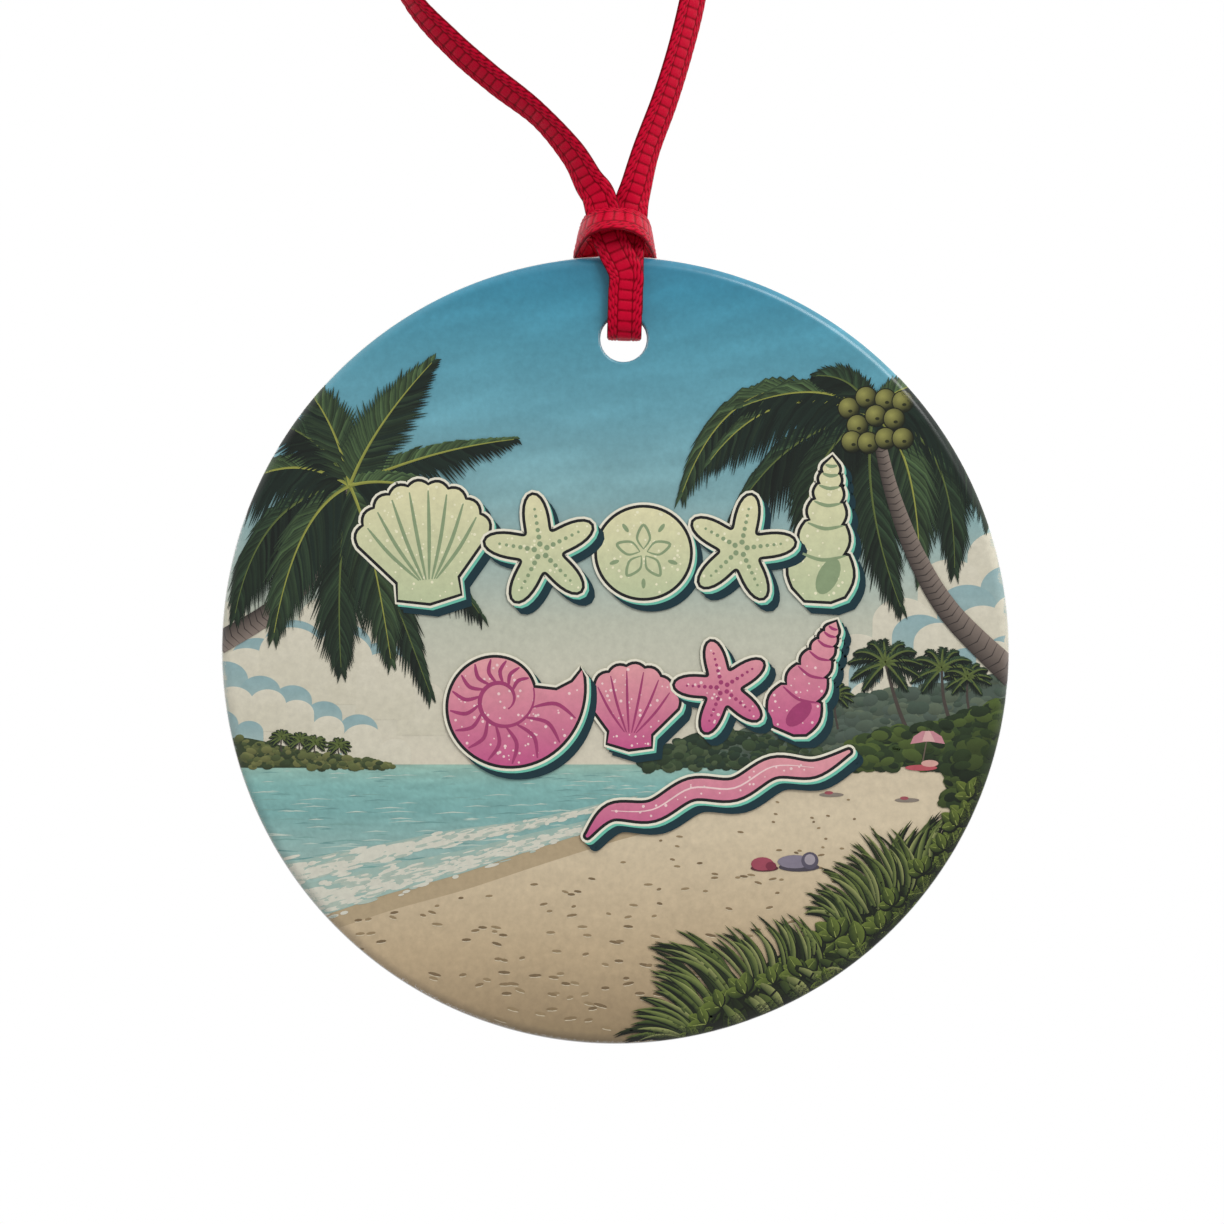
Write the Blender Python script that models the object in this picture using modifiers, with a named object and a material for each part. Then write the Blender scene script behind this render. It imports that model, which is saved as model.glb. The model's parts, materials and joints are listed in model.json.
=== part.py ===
"""Round ceramic souvenir ornament, hung from a loop of narrow red ribbon.

Metres, +Z up, the printed front of the disc facing -Y. The origin is the hang point, at the top of the
inside of the ribbon loop, just under the knot that closes it, and everything hangs down from there.
The ribbon is one length. It is modelled as its stretches: two legs, the strands that pass through the
disc's hole, the band of the lark's-head hitch, the closing knot and its two tails.
"""

import math

import bmesh
import bpy
from mathutils import Vector

MM = 0.001

# The disc
DISC_DIAMETER = 73 * MM
DISC_THICKNESS = 3 * MM
EDGE_ROUND = 1 * MM
HOLE_DIAMETER = 4.3 * MM
HOLE_INSET = 7.65 * MM
HOLE_CHAMFER = 0.3 * MM

# The ribbon
RIBBON_WIDTH = 3.2 * MM
RIBBON_THICKNESS = 0.4 * MM
GAP = 0.3 * MM
LOOP_DROP = 56 * MM
ROUTE_DROP = 56 * MM
HITCH_HEIGHT = 4.5 * MM
HITCH_X = -1.0 * MM
NECK_WIDTH = 2.7 * MM
INNER_PASS_DEPTH = 0.8 * MM
OUTER_PASS_RISE = 0.3 * MM
KNOT_WIDTH = 5.2 * MM
KNOT_DEPTH = 4.2 * MM
KNOT_HEIGHT = 5.0 * MM

TAIL_SPACING = RIBBON_THICKNESS + GAP
TAIL_TURN = 35
TAIL_TWIST = 0.8 * MM

# Each tail's side, how far it leans out and how high it stands
TAILS = [
    ("ribbon_tail_left", -1, 4.2 * MM, 9.0 * MM),
    ("ribbon_tail_right", 1, 3.6 * MM, 9.8 * MM),
]

# Colours, in linear light, and how rough each finish is
GLAZE_COLOUR = (0.86, 0.87, 0.86)
GLAZE_ROUGHNESS = 0.12
RIBBON_COLOUR = (0.42, 0.004, 0.02)
BAND_COLOUR = (0.52, 0.008, 0.035)
RIBBON_ROUGHNESS = 0.45

# Facets
DISC_STEPS = 96
EDGE_STEPS = 5
HOLE_STEPS = 32
KNOT_RINGS = 14
KNOT_SIDES = 24
SPAN_STEPS = 2
HITCH_SPAN_STEPS = 4

# Worked out from the sizes above. Heights in the hitch are measured from the top of the disc's rim.
DISC_RADIUS = DISC_DIAMETER / 2
HALF_THICKNESS = DISC_THICKNESS / 2
HOLE_RADIUS = HOLE_DIAMETER / 2
RIM_TOP = -(LOOP_DROP + HITCH_HEIGHT)
HOLE_BELOW_RIM = -HOLE_INSET
LAYER_STEP = RIBBON_THICKNESS + GAP
INNER_LAYER = HALF_THICKNESS + GAP + RIBBON_THICKNESS / 2
OUTER_LAYER = INNER_LAYER + LAYER_STEP
INNER_NECK = 0.75 * MM
OUTER_NECK = INNER_NECK + LAYER_STEP
STRAND_TOP = HITCH_HEIGHT - GAP
NECK_BOW = 0.125 * MM
RIM_BOW = 0.25 * MM

# The hitch. The band's stations run from the middle of its front to its right end behind the disc: the
# centre relative to HITCH_X, and the direction that the ribbon faces. Its left half mirrors them.
BAND_DIP = 0.8 * MM
BAND_END_X = 2.5 * MM
BAND_END_Y = INNER_LAYER + RIBBON_THICKNESS / 2
BAND_HALF = [
    (0, -(OUTER_LAYER + 0.75 * MM), 3.40 * MM, 0, -0.58, 0.81),
    (1.9 * MM, -(OUTER_LAYER + 0.3 * MM), 3.25 * MM, 0.42, -0.62, 0.66),
    (3.45 * MM, -1.6 * MM, 2.85 * MM, 0.85, -0.38, 0.36),
    (3.65 * MM, 0.4 * MM, 2.35 * MM, 0.97, 0.12, 0.20),
    (3.30 * MM, INNER_LAYER, 1.35 * MM, 0.66, 0.74, 0.12),
    (2.55 * MM, INNER_LAYER + 0.45 * MM, 0.2 * MM, 0.15, 0.98, 0.05),
    (BAND_END_X, BAND_END_Y, -BAND_DIP, 0, 1, 0),
]
INNER_X = 0.15 * MM
OUTER_X = -0.25 * MM
INNER_NECK_ROUTE = [
    (0.35 * MM, -INNER_NECK, STRAND_TOP),
    (0.05 * MM, NECK_BOW - (INNER_NECK + INNER_LAYER) / 2, 2.3 * MM),
    (0.0, RIM_BOW - INNER_LAYER, 0.6 * MM),
]
OUTER_NECK_ROUTE = [
    (-1.95 * MM, -OUTER_NECK, STRAND_TOP),
    (-1.6 * MM, NECK_BOW - (OUTER_NECK + OUTER_LAYER) / 2, 2.3 * MM),
    (-1.0 * MM, RIM_BOW - OUTER_LAYER, 0.6 * MM),
]

FRONT_HEIGHTS = (-1.8 * MM, -3.4 * MM)

# A back strand's way from the lip to under the band's end: the share of the climb, of the step sideways
# and of the step from its own layer to the band's
BACK_CLIMB = ((0.4, 0.35, 0), (0.8, 0.9, 0.6), (1, 1, 1))

# Each leg's route: the ribbon's centre, then how far its face is turned from the front, in degrees.
LEFT_LEG = [
    (-0.00275, -0.00145, -0.05490, 14),
    (-0.00365, -0.00130, -0.05370, 32),
    (-0.00530, -0.00105, -0.05105, 50),
    (-0.00855, -0.00075, -0.04760, 64),
    (-0.01285, -0.00045, -0.04440, 60),
    (-0.01670, -0.00025, -0.04120, 58),
    (-0.02045, -0.00010, -0.03730, 64),
    (-0.02315, 0.0, -0.03220, 69),
    (-0.02355, 0.0, -0.02700, 73),
    (-0.02160, 0.0, -0.02240, 75),
    (-0.01780, 0.0, -0.01880, 80),
    (-0.01330, 0.0, -0.01500, 84),
    (-0.00870, 0.0, -0.01100, 87),
    (-0.00430, 0.0, -0.00710, 89),
    (-0.00145, 0.0, -0.00370, 90),
    (-0.00040, 0.0, -0.00090, 90),
]
RIGHT_LEG = [
    (0.00045, -0.00075, -0.05550, 8),
    (0.00085, -0.00068, -0.05400, 26),
    (0.00175, -0.00055, -0.05050, 40),
    (0.00330, -0.00040, -0.04600, 43),
    (0.00460, -0.00028, -0.04140, 44),
    (0.00565, -0.00015, -0.03660, 43),
    (0.00650, 0.0, -0.03080, 49),
    (0.00680, 0.0, -0.02480, 60),
    (0.00635, 0.0, -0.01880, 70),
    (0.00520, 0.0, -0.01300, 80),
    (0.00345, 0.0, -0.00780, 86),
    (0.00145, 0.0, -0.00370, 90),
    (0.00040, 0.0, -0.00090, 90),
]


def clear_scene():
    for thing in list(bpy.data.objects):
        bpy.data.objects.remove(thing, do_unlink=True)


def new_collection(name):
    collection = bpy.data.collections.new(name)
    bpy.context.scene.collection.children.link(collection)
    return collection


def principled(name, colour, roughness, metallic=0.0):
    material = bpy.data.materials.new(name)
    material.use_nodes = True
    shader = material.node_tree.nodes["Principled BSDF"]
    shader.inputs["Base Color"].default_value = (*colour, 1.0)
    shader.inputs["Roughness"].default_value = roughness
    shader.inputs["Metallic"].default_value = metallic
    return material


def pivot(name, location, parent=None):
    """An empty on a joint's axis, in coordinates of its own parent."""
    empty = bpy.data.objects.new(name, None)
    empty.empty_display_size = 5 * MM
    empty.location = location
    empty.parent = parent
    PARTS.objects.link(empty)
    return empty


def add_mesh(name, form, collection, parent=None, colour=None, roughness=0.5):
    """Turns a bmesh into a linked object, with a material of its own where it has a colour."""
    mesh = bpy.data.meshes.new(name)
    form.to_mesh(mesh)
    form.free()
    thing = bpy.data.objects.new(name, mesh)
    thing.parent = parent
    collection.objects.link(thing)
    if colour:
        mesh.materials.append(principled(name, colour, roughness))
    return thing


def profile_line(points):
    """An open edge line at +X in the XZ plane, from pairs of radius and height."""
    form = bmesh.new()
    verts = [form.verts.new((radius, 0, height)) for radius, height in points]
    for above, below in zip(verts, verts[1:]):
        form.edges.new((above, below))
    return form


def turn_profile(thing, steps):
    """Spins a profile line round its own Z axis."""
    screw = thing.modifiers.new("turned", "SCREW")
    screw.axis = "Z"
    screw.steps = steps
    screw.render_steps = steps
    screw.use_merge_vertices = True
    screw.merge_threshold = 0.01 * MM
    screw.use_smooth_shade = True


def disc_profile():
    """Front centre, round the rim and back to the centre behind, with both edges rounded."""
    round_centre = DISC_RADIUS - EDGE_ROUND
    flat_edge = HALF_THICKNESS - EDGE_ROUND
    points = [(0, HALF_THICKNESS)]
    for side, first, last in ((1, 90, 0), (-1, 0, -90)):
        for step in range(EDGE_STEPS + 1):
            angle = math.radians(first + (last - first) * step / EDGE_STEPS)
            points.append(
                (
                    round_centre + EDGE_ROUND * math.cos(angle),
                    side * flat_edge + EDGE_ROUND * math.sin(angle),
                )
            )
    points.append((0, -HALF_THICKNESS))
    return points


def hole_cutter(parent):
    """A spool: the hole's bore, with a chamfer that runs out past each face."""
    reach = HALF_THICKNESS + HOLE_CHAMFER
    mouth = HALF_THICKNESS - HOLE_CHAMFER
    flare = HOLE_RADIUS + 2 * HOLE_CHAMFER
    points = [
        (0, reach),
        (flare, reach),
        (HOLE_RADIUS, mouth),
        (HOLE_RADIUS, -mouth),
        (flare, -reach),
        (0, -reach),
    ]
    cutter = add_mesh("hole_cutter", profile_line(points), CUTTERS, parent)
    cutter.rotation_euler = (math.radians(90), 0, 0)
    turn_profile(cutter, HOLE_STEPS)
    cutter.hide_render = True
    cutter.display_type = "WIRE"
    return cutter


def ceramic_disc(parent):
    """The glazed disc. Its parent sits at the centre of the hole that it swings on."""
    form = profile_line(disc_profile())
    disc = add_mesh("ceramic_disc", form, PARTS, parent, GLAZE_COLOUR, GLAZE_ROUGHNESS)
    disc.location = (0, 0, HOLE_INSET - DISC_RADIUS)
    disc.rotation_euler = (math.radians(90), 0, 0)
    turn_profile(disc, DISC_STEPS)
    hole = disc.modifiers.new("hole", "BOOLEAN")
    hole.operation = "DIFFERENCE"
    hole.solver = "EXACT"
    hole.object = hole_cutter(parent)


def smooth(stations, steps):
    """Points on a Catmull-Rom curve through the stations, whose numbers are all eased alike."""
    ends = [stations[0], *stations, stations[-1]]
    result = []
    for before, start, finish, after in zip(ends, ends[1:], ends[2:], ends[3:]):
        for step in range(steps):
            t = step / steps
            result.append(
                [
                    b + 0.5 * t * ((c - a) + t * (2 * a - 5 * b + 4 * c - d + t * (3 * b - a - 3 * c + d)))
                    for a, b, c, d in zip(before, start, finish, after)
                ]
            )
    return result + [list(stations[-1])]


def ribbon(name, stations, steps, parent, colour=RIBBON_COLOUR):
    """A flat band: an open strip along the stations, which Solidify gives its thickness.

    A station is the centre, the direction that the ribbon's face looks, and the width, as seven numbers.
    """
    line = smooth(stations, steps)
    centres = [Vector(station[:3]) for station in line]
    last = len(line) - 1
    form = bmesh.new()
    previous = None
    for index, station in enumerate(line):
        along = centres[min(index + 1, last)] - centres[max(index - 1, 0)]
        across = along.cross(Vector(station[3:6])).normalized() * station[6] / 2
        pair = (form.verts.new(centres[index] - across), form.verts.new(centres[index] + across))
        if previous:
            form.faces.new((previous[0], pair[0], pair[1], previous[1]))
        previous = pair
    band = add_mesh(name, form, PARTS, parent, colour, RIBBON_ROUGHNESS)
    for polygon in band.data.polygons:
        polygon.use_smooth = True
    solidify = band.modifiers.new("thickness", "SOLIDIFY")
    solidify.thickness = RIBBON_THICKNESS
    solidify.offset = 0
    return band


def leg_stations(route, outward):
    """A leg's stations. Its face turns from the front towards the side that outward names, -1 or 1.

    The routes are drawn for ROUTE_DROP, and are stretched upright to the loop's own drop.
    """
    stretch = LOOP_DROP / ROUTE_DROP
    stations = []
    for x, y, z, turned in route:
        angle = math.radians(turned)
        stations.append((x, y, z * stretch, outward * math.sin(angle), -math.cos(angle), 0, RIBBON_WIDTH))
    return stations


def width_in_hole(rise):
    """The widest that a flat band can be in the hole at this height over its centre, less a gap."""
    outer = rise + RIBBON_THICKNESS / 2
    chord = 2 * math.sqrt((HOLE_RADIUS - GAP) ** 2 - outer**2)
    return min(RIBBON_WIDTH, chord)


def lip_stations(x, layer, rise, side):
    """From a face of the disc, round the hole's upper lip, to the middle of the hole. Side is -1 at the front."""
    bend_y = HALF_THICKNESS - HOLE_CHAMFER
    lip = HOLE_BELOW_RIM + HOLE_RADIUS + HOLE_CHAMFER
    depth = lip - (HOLE_BELOW_RIM + rise)
    narrow = width_in_hole(rise)
    stations = []
    for angle in (0, 30, 60, 90):
        turn = math.radians(angle)
        y = side * (bend_y + (layer - bend_y) * math.cos(turn))
        z = lip - depth * math.sin(turn)
        width = RIBBON_WIDTH + (narrow - RIBBON_WIDTH) * math.sin(turn)
        stations.append((x, y, z, 0, side * math.cos(turn), -math.sin(turn), width))
    stations.append((x, side * GAP / 2, lip - depth, 0, 0, -1, narrow))
    return stations


def front_strands(parent):
    """The two strands that come down the front, one on the other, and into the hole."""
    for name, neck, layer, rise, x in (
        ("ribbon_front_strand_right", INNER_NECK_ROUTE, INNER_LAYER, HOLE_RADIUS - INNER_PASS_DEPTH, INNER_X),
        ("ribbon_front_strand_left", OUTER_NECK_ROUTE, OUTER_LAYER, OUTER_PASS_RISE, OUTER_X),
    ):
        stations = [(*place, 0, -1, 0, NECK_WIDTH) for place in neck[:2]]
        route = [neck[2], *((x, -layer, height) for height in FRONT_HEIGHTS)]
        stations += [(*place, 0, -1, 0, RIBBON_WIDTH) for place in route]
        stations += lip_stations(x, layer, rise, -1)
        ribbon(name, stations, HITCH_SPAN_STEPS, parent)


def back_strands(parent):
    """The same two strands out of the hole behind the disc, and up to the ends of the hitch's band."""
    top = -BAND_DIP - 2 * GAP
    for name, layer, rise, x, end_x in (
        ("ribbon_back_strand_right", INNER_LAYER, HOLE_RADIUS - INNER_PASS_DEPTH, INNER_X, HITCH_X + BAND_END_X),
        ("ribbon_back_strand_left", OUTER_LAYER, OUTER_PASS_RISE, OUTER_X, HITCH_X - BAND_END_X),
    ):
        stations = lip_stations(x, layer, rise, 1)[::-1]
        low = stations[-1][2]
        for climb, spread, settle in BACK_CLIMB:
            y = layer + (BAND_END_Y - layer) * settle
            place = (x + (end_x - x) * spread, y, low + (top - low) * climb)
            stations.append((*place, 0, 1, 0, RIBBON_WIDTH))
        ribbon(name, stations, HITCH_SPAN_STEPS, parent)


def hitch_band(parent):
    """The bight of the lark's head: across the front of the two strands, round them and down behind."""
    right = [(HITCH_X + x, y, z, fx, fy, fz, RIBBON_WIDTH) for x, y, z, fx, fy, fz in BAND_HALF]
    left = [(HITCH_X - x, y, z, -fx, fy, fz, RIBBON_WIDTH) for x, y, z, fx, fy, fz in BAND_HALF[1:]]
    ribbon("ribbon_hitch_band", left[::-1] + right, HITCH_SPAN_STEPS, parent, BAND_COLOUR)


def legs(parent):
    for name, route, outward in (
        ("ribbon_left_leg", LEFT_LEG, -1),
        ("ribbon_right_leg", RIGHT_LEG, 1),
    ):
        ribbon(name, leg_stations(route, outward), SPAN_STEPS, parent)


def end_knot(parent):
    """The overhand knot that closes the loop, as one rounded lump over the hang point."""
    form = bmesh.new()
    bmesh.ops.create_uvsphere(form, u_segments=KNOT_SIDES, v_segments=KNOT_RINGS, radius=0.5)
    bmesh.ops.scale(form, vec=(KNOT_WIDTH, KNOT_DEPTH, KNOT_HEIGHT), verts=form.verts)
    for face in form.faces:
        face.smooth = True
    knot = add_mesh("ribbon_end_knot", form, PARTS, parent, RIBBON_COLOUR, RIBBON_ROUGHNESS)
    knot.location = (0, 0, GAP + KNOT_HEIGHT / 2)


def tails(parent):
    """The two short free ends above the knot."""
    base = GAP + KNOT_HEIGHT + GAP
    for name, side, lean, height in TAILS:
        stations = []
        for share in (0, 0.3, 0.65, 1):
            x = side * (TAIL_SPACING / 2 + lean * share**1.4)
            y = side * TAIL_TWIST * share
            z = base + height * share
            turn = math.radians(90 - TAIL_TURN * share)
            stations.append((x, y, z, side * math.sin(turn), -math.cos(turn), 0, RIBBON_WIDTH))
        ribbon(name, stations, SPAN_STEPS, parent)


clear_scene()
PARTS = new_collection("souvenir_ornament")
CUTTERS = new_collection("cutters")

hang_point = pivot("hang_point", (0, 0, 0))
hitch_axis = pivot("hitch_axis", (0, 0, RIM_TOP), hang_point)
disc_pivot = pivot("disc_pivot", (0, 0, HOLE_BELOW_RIM), hitch_axis)

ceramic_disc(disc_pivot)
front_strands(hitch_axis)
back_strands(hitch_axis)
hitch_band(hitch_axis)
legs(hang_point)
end_knot(hang_point)
tails(hang_point)
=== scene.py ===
"""Looks for the hanging ceramic souvenir ornament: its glazed disc, the print on it, and its woven ribbon.

Metres, +Z up, the print faces -Y, and the origin is the hang point at the top of the ribbon loop.
The print is drawn in millimetres from the middle of the disc, x to the right and z up, and each part of it
is a very thin layer of ink that follows the face and the rounded edge of the disc.
"""

import json
import math
import random

import bmesh
import bpy
import numpy as np
from mathutils import Matrix, Vector, noise
from mathutils.geometry import tessellate_polygon


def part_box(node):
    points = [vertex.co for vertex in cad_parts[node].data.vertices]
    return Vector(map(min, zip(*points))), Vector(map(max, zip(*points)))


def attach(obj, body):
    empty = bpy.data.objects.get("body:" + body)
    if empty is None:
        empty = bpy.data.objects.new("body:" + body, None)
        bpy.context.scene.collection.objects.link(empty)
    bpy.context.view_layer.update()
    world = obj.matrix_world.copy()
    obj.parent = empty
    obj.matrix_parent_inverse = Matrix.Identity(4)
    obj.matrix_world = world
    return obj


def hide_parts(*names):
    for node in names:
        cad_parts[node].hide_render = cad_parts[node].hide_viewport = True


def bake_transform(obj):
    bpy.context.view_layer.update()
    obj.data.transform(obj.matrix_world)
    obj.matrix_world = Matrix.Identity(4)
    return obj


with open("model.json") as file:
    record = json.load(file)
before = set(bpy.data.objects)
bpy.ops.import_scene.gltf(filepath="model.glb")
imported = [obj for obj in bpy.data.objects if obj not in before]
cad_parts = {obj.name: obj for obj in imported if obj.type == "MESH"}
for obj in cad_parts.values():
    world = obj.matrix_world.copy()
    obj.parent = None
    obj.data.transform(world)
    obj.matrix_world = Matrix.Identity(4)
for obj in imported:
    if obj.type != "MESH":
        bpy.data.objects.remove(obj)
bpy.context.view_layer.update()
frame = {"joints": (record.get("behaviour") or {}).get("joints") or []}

MM = 0.001

# The disc, read from the frame
DISC_LOW, DISC_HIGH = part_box("ceramic_disc")
DISC_CENTRE = (DISC_LOW + DISC_HIGH) / 2
DISC_RADIUS = (DISC_HIGH.x - DISC_LOW.x) / 2
HALF_THICKNESS = (DISC_HIGH.y - DISC_LOW.y) / 2
HITCH_JOINT = next(joint for joint in frame["joints"] if joint["name"] == "disc_swing")
HOLE_CENTRE = Vector(HITCH_JOINT["pos_m"])
RIM_TOP = DISC_HIGH.z
EDGE_ROUND = 1.0 * MM
HOLE_RADIUS = 2.15 * MM
HOLE_ROUND = 0.28 * MM

# The print
PRINT_TURN = math.radians(1.49)
PRINT_MARGIN = 0.10 * MM

# The ribbon
RIBBON_WIDTH = 3.2 * MM
RIBBON_THICKNESS = 0.34 * MM
RUNG_PITCH = 0.95 * MM

# The cords' routes: the ribbon's centre, then how far its face is turned from the front, in degrees.
LEFT_LEG = [
    (-0.00200, -0.00162, -0.05745, 0),
    (-0.00228, -0.00152, -0.05630, 2),
    (-0.00275, -0.00145, -0.05490, 14),
    (-0.00365, -0.00130, -0.05370, 32),
    (-0.00530, -0.00105, -0.05105, 50),
    (-0.00855, -0.00075, -0.04760, 64),
    (-0.01285, -0.00045, -0.04440, 60),
    (-0.01670, -0.00025, -0.04120, 58),
    (-0.02045, -0.00010, -0.03730, 64),
    (-0.02315, 0.0, -0.03220, 69),
    (-0.02355, 0.0, -0.02700, 73),
    (-0.02160, 0.0, -0.02240, 75),
    (-0.01780, 0.0, -0.01880, 80),
    (-0.01330, 0.0, -0.01500, 84),
    (-0.00870, 0.0, -0.01100, 87),
    (-0.00430, 0.0, -0.00710, 89),
    (-0.00145, 0.0, -0.00370, 90),
    (-0.00040, 0.0, -0.00090, 90),
    (-0.00036, 0.0, 0.00130, 90),
]
RIGHT_LEG = [
    (0.00030, -0.00100, -0.05745, 0),
    (0.00036, -0.00085, -0.05655, 3),
    (0.00045, -0.00075, -0.05550, 8),
    (0.00085, -0.00068, -0.05400, 26),
    (0.00175, -0.00055, -0.05050, 40),
    (0.00330, -0.00040, -0.04600, 43),
    (0.00460, -0.00028, -0.04140, 44),
    (0.00565, -0.00015, -0.03660, 43),
    (0.00650, 0.0, -0.03080, 49),
    (0.00680, 0.0, -0.02480, 60),
    (0.00635, 0.0, -0.01880, 70),
    (0.00520, 0.0, -0.01300, 80),
    (0.00345, 0.0, -0.00780, 86),
    (0.00145, 0.0, -0.00370, 90),
    (0.00040, 0.0, -0.00090, 90),
    (0.00036, 0.0, 0.00130, 90),
]


# ---------------------------------------------------------------- camera, light and floor

VIEW_WIDTH = 0.11333
VIEW_OFFSET = Vector((-0.41 * MM, 0, 3.51 * MM))
CAMERA_DISTANCE = 0.9
SENSOR = 36.0


def camera():
    data = bpy.data.cameras.new("camera")
    data.sensor_width = SENSOR
    data.lens = SENSOR * CAMERA_DISTANCE / VIEW_WIDTH
    data.clip_start = 0.01
    data.clip_end = 20
    thing = bpy.data.objects.new("camera", data)
    bpy.context.scene.collection.objects.link(thing)
    place = DISC_CENTRE + VIEW_OFFSET + Vector((0, -HALF_THICKNESS - CAMERA_DISTANCE, 0))
    tilt = Matrix.Rotation(-PRINT_TURN, 4, "Y")
    level = Matrix.Rotation(math.radians(90), 4, "X")
    thing.matrix_world = Matrix.Translation(place) @ tilt @ level
    bpy.context.scene.camera = thing


def studio_world():
    """A white studio, dimmer on the side that the print faces and from below, where a floor would be."""
    world = bpy.data.worlds.new("studio")
    bpy.context.scene.world = world
    world.use_nodes = True
    tree = world.node_tree
    background = tree.nodes["Background"]
    place = tree.nodes.new("ShaderNodeTexCoord")
    split = tree.nodes.new("ShaderNodeSeparateXYZ")
    tree.links.new(place.outputs["Generated"], split.inputs["Vector"])
    front = node(tree, "ShaderNodeMapRange", From_Min=-0.95, From_Max=-0.25, To_Min=0.36, To_Max=1.0)
    below = node(tree, "ShaderNodeMapRange", From_Min=-0.5, From_Max=-0.12, To_Min=0.25, To_Max=1.0)
    tree.links.new(split.outputs["Y"], front.inputs["Value"])
    tree.links.new(split.outputs["Z"], below.inputs["Value"])
    product = tree.nodes.new("ShaderNodeMath")
    product.operation = "MULTIPLY"
    tree.links.new(front.outputs["Result"], product.inputs[0])
    tree.links.new(below.outputs["Result"], product.inputs[1])
    tree.links.new(product.outputs[0], background.inputs["Strength"])
    background.inputs["Color"].default_value = (1, 1, 1, 1)


def area_light(name, place, size, power):
    data = bpy.data.lights.new(name, "AREA")
    data.shape = "DISK"
    data.size = size
    data.energy = power
    thing = bpy.data.objects.new(name, data)
    bpy.context.scene.collection.objects.link(thing)
    thing.location = place
    thing.rotation_euler = (DISC_CENTRE - Vector(place)).to_track_quat("-Z", "Y").to_euler()


def floor():
    bpy.ops.mesh.primitive_circle_add(vertices=96, radius=1.6, fill_type="NGON", location=(0, 0, -0.42))
    thing = bpy.context.object
    thing.name = "floor"
    material, _, _ = new_material("floor", Base_Color=(0.40, 0.40, 0.41, 1), Roughness=0.7)
    thing.data.materials.append(material)


# ---------------------------------------------------------------- shared tools


def linear(code):
    """A colour written as #RRGGBB, as linear red, green and blue."""
    parts = [int(code[i : i + 2], 16) / 255 for i in (1, 3, 5)]
    return tuple(part / 12.92 if part <= 0.04045 else ((part + 0.055) / 1.055) ** 2.4 for part in parts)


def mixed(first, second, share):
    share = min(max(share, 0.0), 1.0)
    return tuple(a + (b - a) * share for a, b in zip(first, second))


def unit(way):
    return way / max(np.linalg.norm(way), 1e-9)


def units(ways):
    return ways / np.maximum(np.linalg.norm(ways, axis=1), 1e-9)[:, None]


def left_of(way):
    """A direction in the plane, or an array of them, turned a quarter to the left."""
    return np.stack([-way[..., 1], way[..., 0]], axis=-1)


def eased(low, high, value):
    """0 below low, 1 above high and smooth between."""
    share = np.clip((value - low) / (high - low), 0, 1)
    return share * share * (3 - 2 * share)


def add_object(name, mesh):
    thing = bpy.data.objects.new(name, mesh)
    bpy.context.scene.collection.objects.link(thing)
    return thing


def set_inputs(thing, **values):
    """Sets a node's inputs by name, an underscore standing for a space."""
    for name, value in values.items():
        thing.inputs[name.replace("_", " ")].default_value = value


def node(tree, kind, **values):
    made = tree.nodes.new(kind)
    set_inputs(made, **values)
    return made


def attribute(tree, name):
    made = tree.nodes.new("ShaderNodeAttribute")
    made.attribute_name = name
    return made


def new_material(name, **values):
    """A material whose shader has these settings, and its node tree and shader."""
    material = bpy.data.materials.new(name)
    material.use_nodes = True
    tree = material.node_tree
    shader = tree.nodes["Principled BSDF"]
    set_inputs(shader, **values)
    return material, tree, shader


def ramp(tree, source, stops, shader):
    """The shader's colour from a source's value, along two or more (value, colour) stops."""
    made = tree.nodes.new("ShaderNodeValToRGB")
    elements = made.color_ramp.elements
    elements[0].position = stops[0][0]
    elements[1].position = stops[-1][0]
    for place, _ in stops[1:-1]:
        elements.new(place)
    for element, (_, colour) in zip(elements, stops):
        element.color = (*linear(colour), 1)
    tree.links.new(source, made.inputs["Fac"])
    tree.links.new(made.outputs["Color"], shader.inputs["Base Color"])


def bump(tree, source, strength, distance, shader):
    made = node(tree, "ShaderNodeBump", Strength=strength, Distance=distance)
    tree.links.new(source, made.inputs["Height"])
    tree.links.new(made.outputs["Normal"], shader.inputs["Normal"])


def noise_on(tree, place, **values):
    """Noise whose value comes from a place, such as the object's own coordinates."""
    made = node(tree, "ShaderNodeTexNoise", **values)
    tree.links.new(place, made.inputs["Vector"])
    return made.outputs["Fac"]


# ---------------------------------------------------------------- ribbon


def ribbon_material():
    """Woven satin: deep red, with painted shade in the grooves of the weave and a painted highlight on its
    floats, with fine threads.
    """
    material, tree, shader = new_material(
        "red_ribbon",
        Roughness=0.36,
        Specular_IOR_Level=0.22,
        Specular_Tint=(1.0, 0.30, 0.35, 1),
        Sheen_Weight=0.03,
        Sheen_Roughness=0.4,
        Sheen_Tint=(1.0, 0.2, 0.25, 1),
    )
    threads = attribute(tree, "weave").outputs["Vector"]
    streak = noise_on(tree, threads, Scale=1.0, Detail=3.0, Roughness=0.6)
    blend = tree.nodes.new("ShaderNodeMath")
    blend.operation = "MULTIPLY_ADD"
    blend.inputs[1].default_value = 0.34
    tree.links.new(streak, blend.inputs[0])
    tree.links.new(attribute(tree, "relief").outputs["Fac"], blend.inputs[2])
    # The weave's height sets the colour: painted shade in the low grooves, painted highlight on the raised
    # floats and edge stitches.
    ramp(tree, blend.outputs[0], ((0.18, "#4C000A"), (0.60, "#880015"), (1.1 / 1.2, "#CC0830")), shader)
    bump(tree, streak, 0.6, 0.00007, shader)
    return material


def smooth(stations, steps):
    """Rows on a Catmull-Rom curve through the stations, whose numbers are all eased alike."""
    points = np.array([stations[0], *stations, stations[-1]], float)
    rows = []
    for a, b, c, d in zip(points, points[1:], points[2:], points[3:]):
        for t in np.arange(steps) / steps:
            bend = 2 * a - 5 * b + 4 * c - d + t * (3 * b - a - 3 * c + d)
            rows.append(b + 0.5 * t * ((c - a) + t * bend))
    rows.append(points[-1])
    return np.array(rows)


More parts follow.
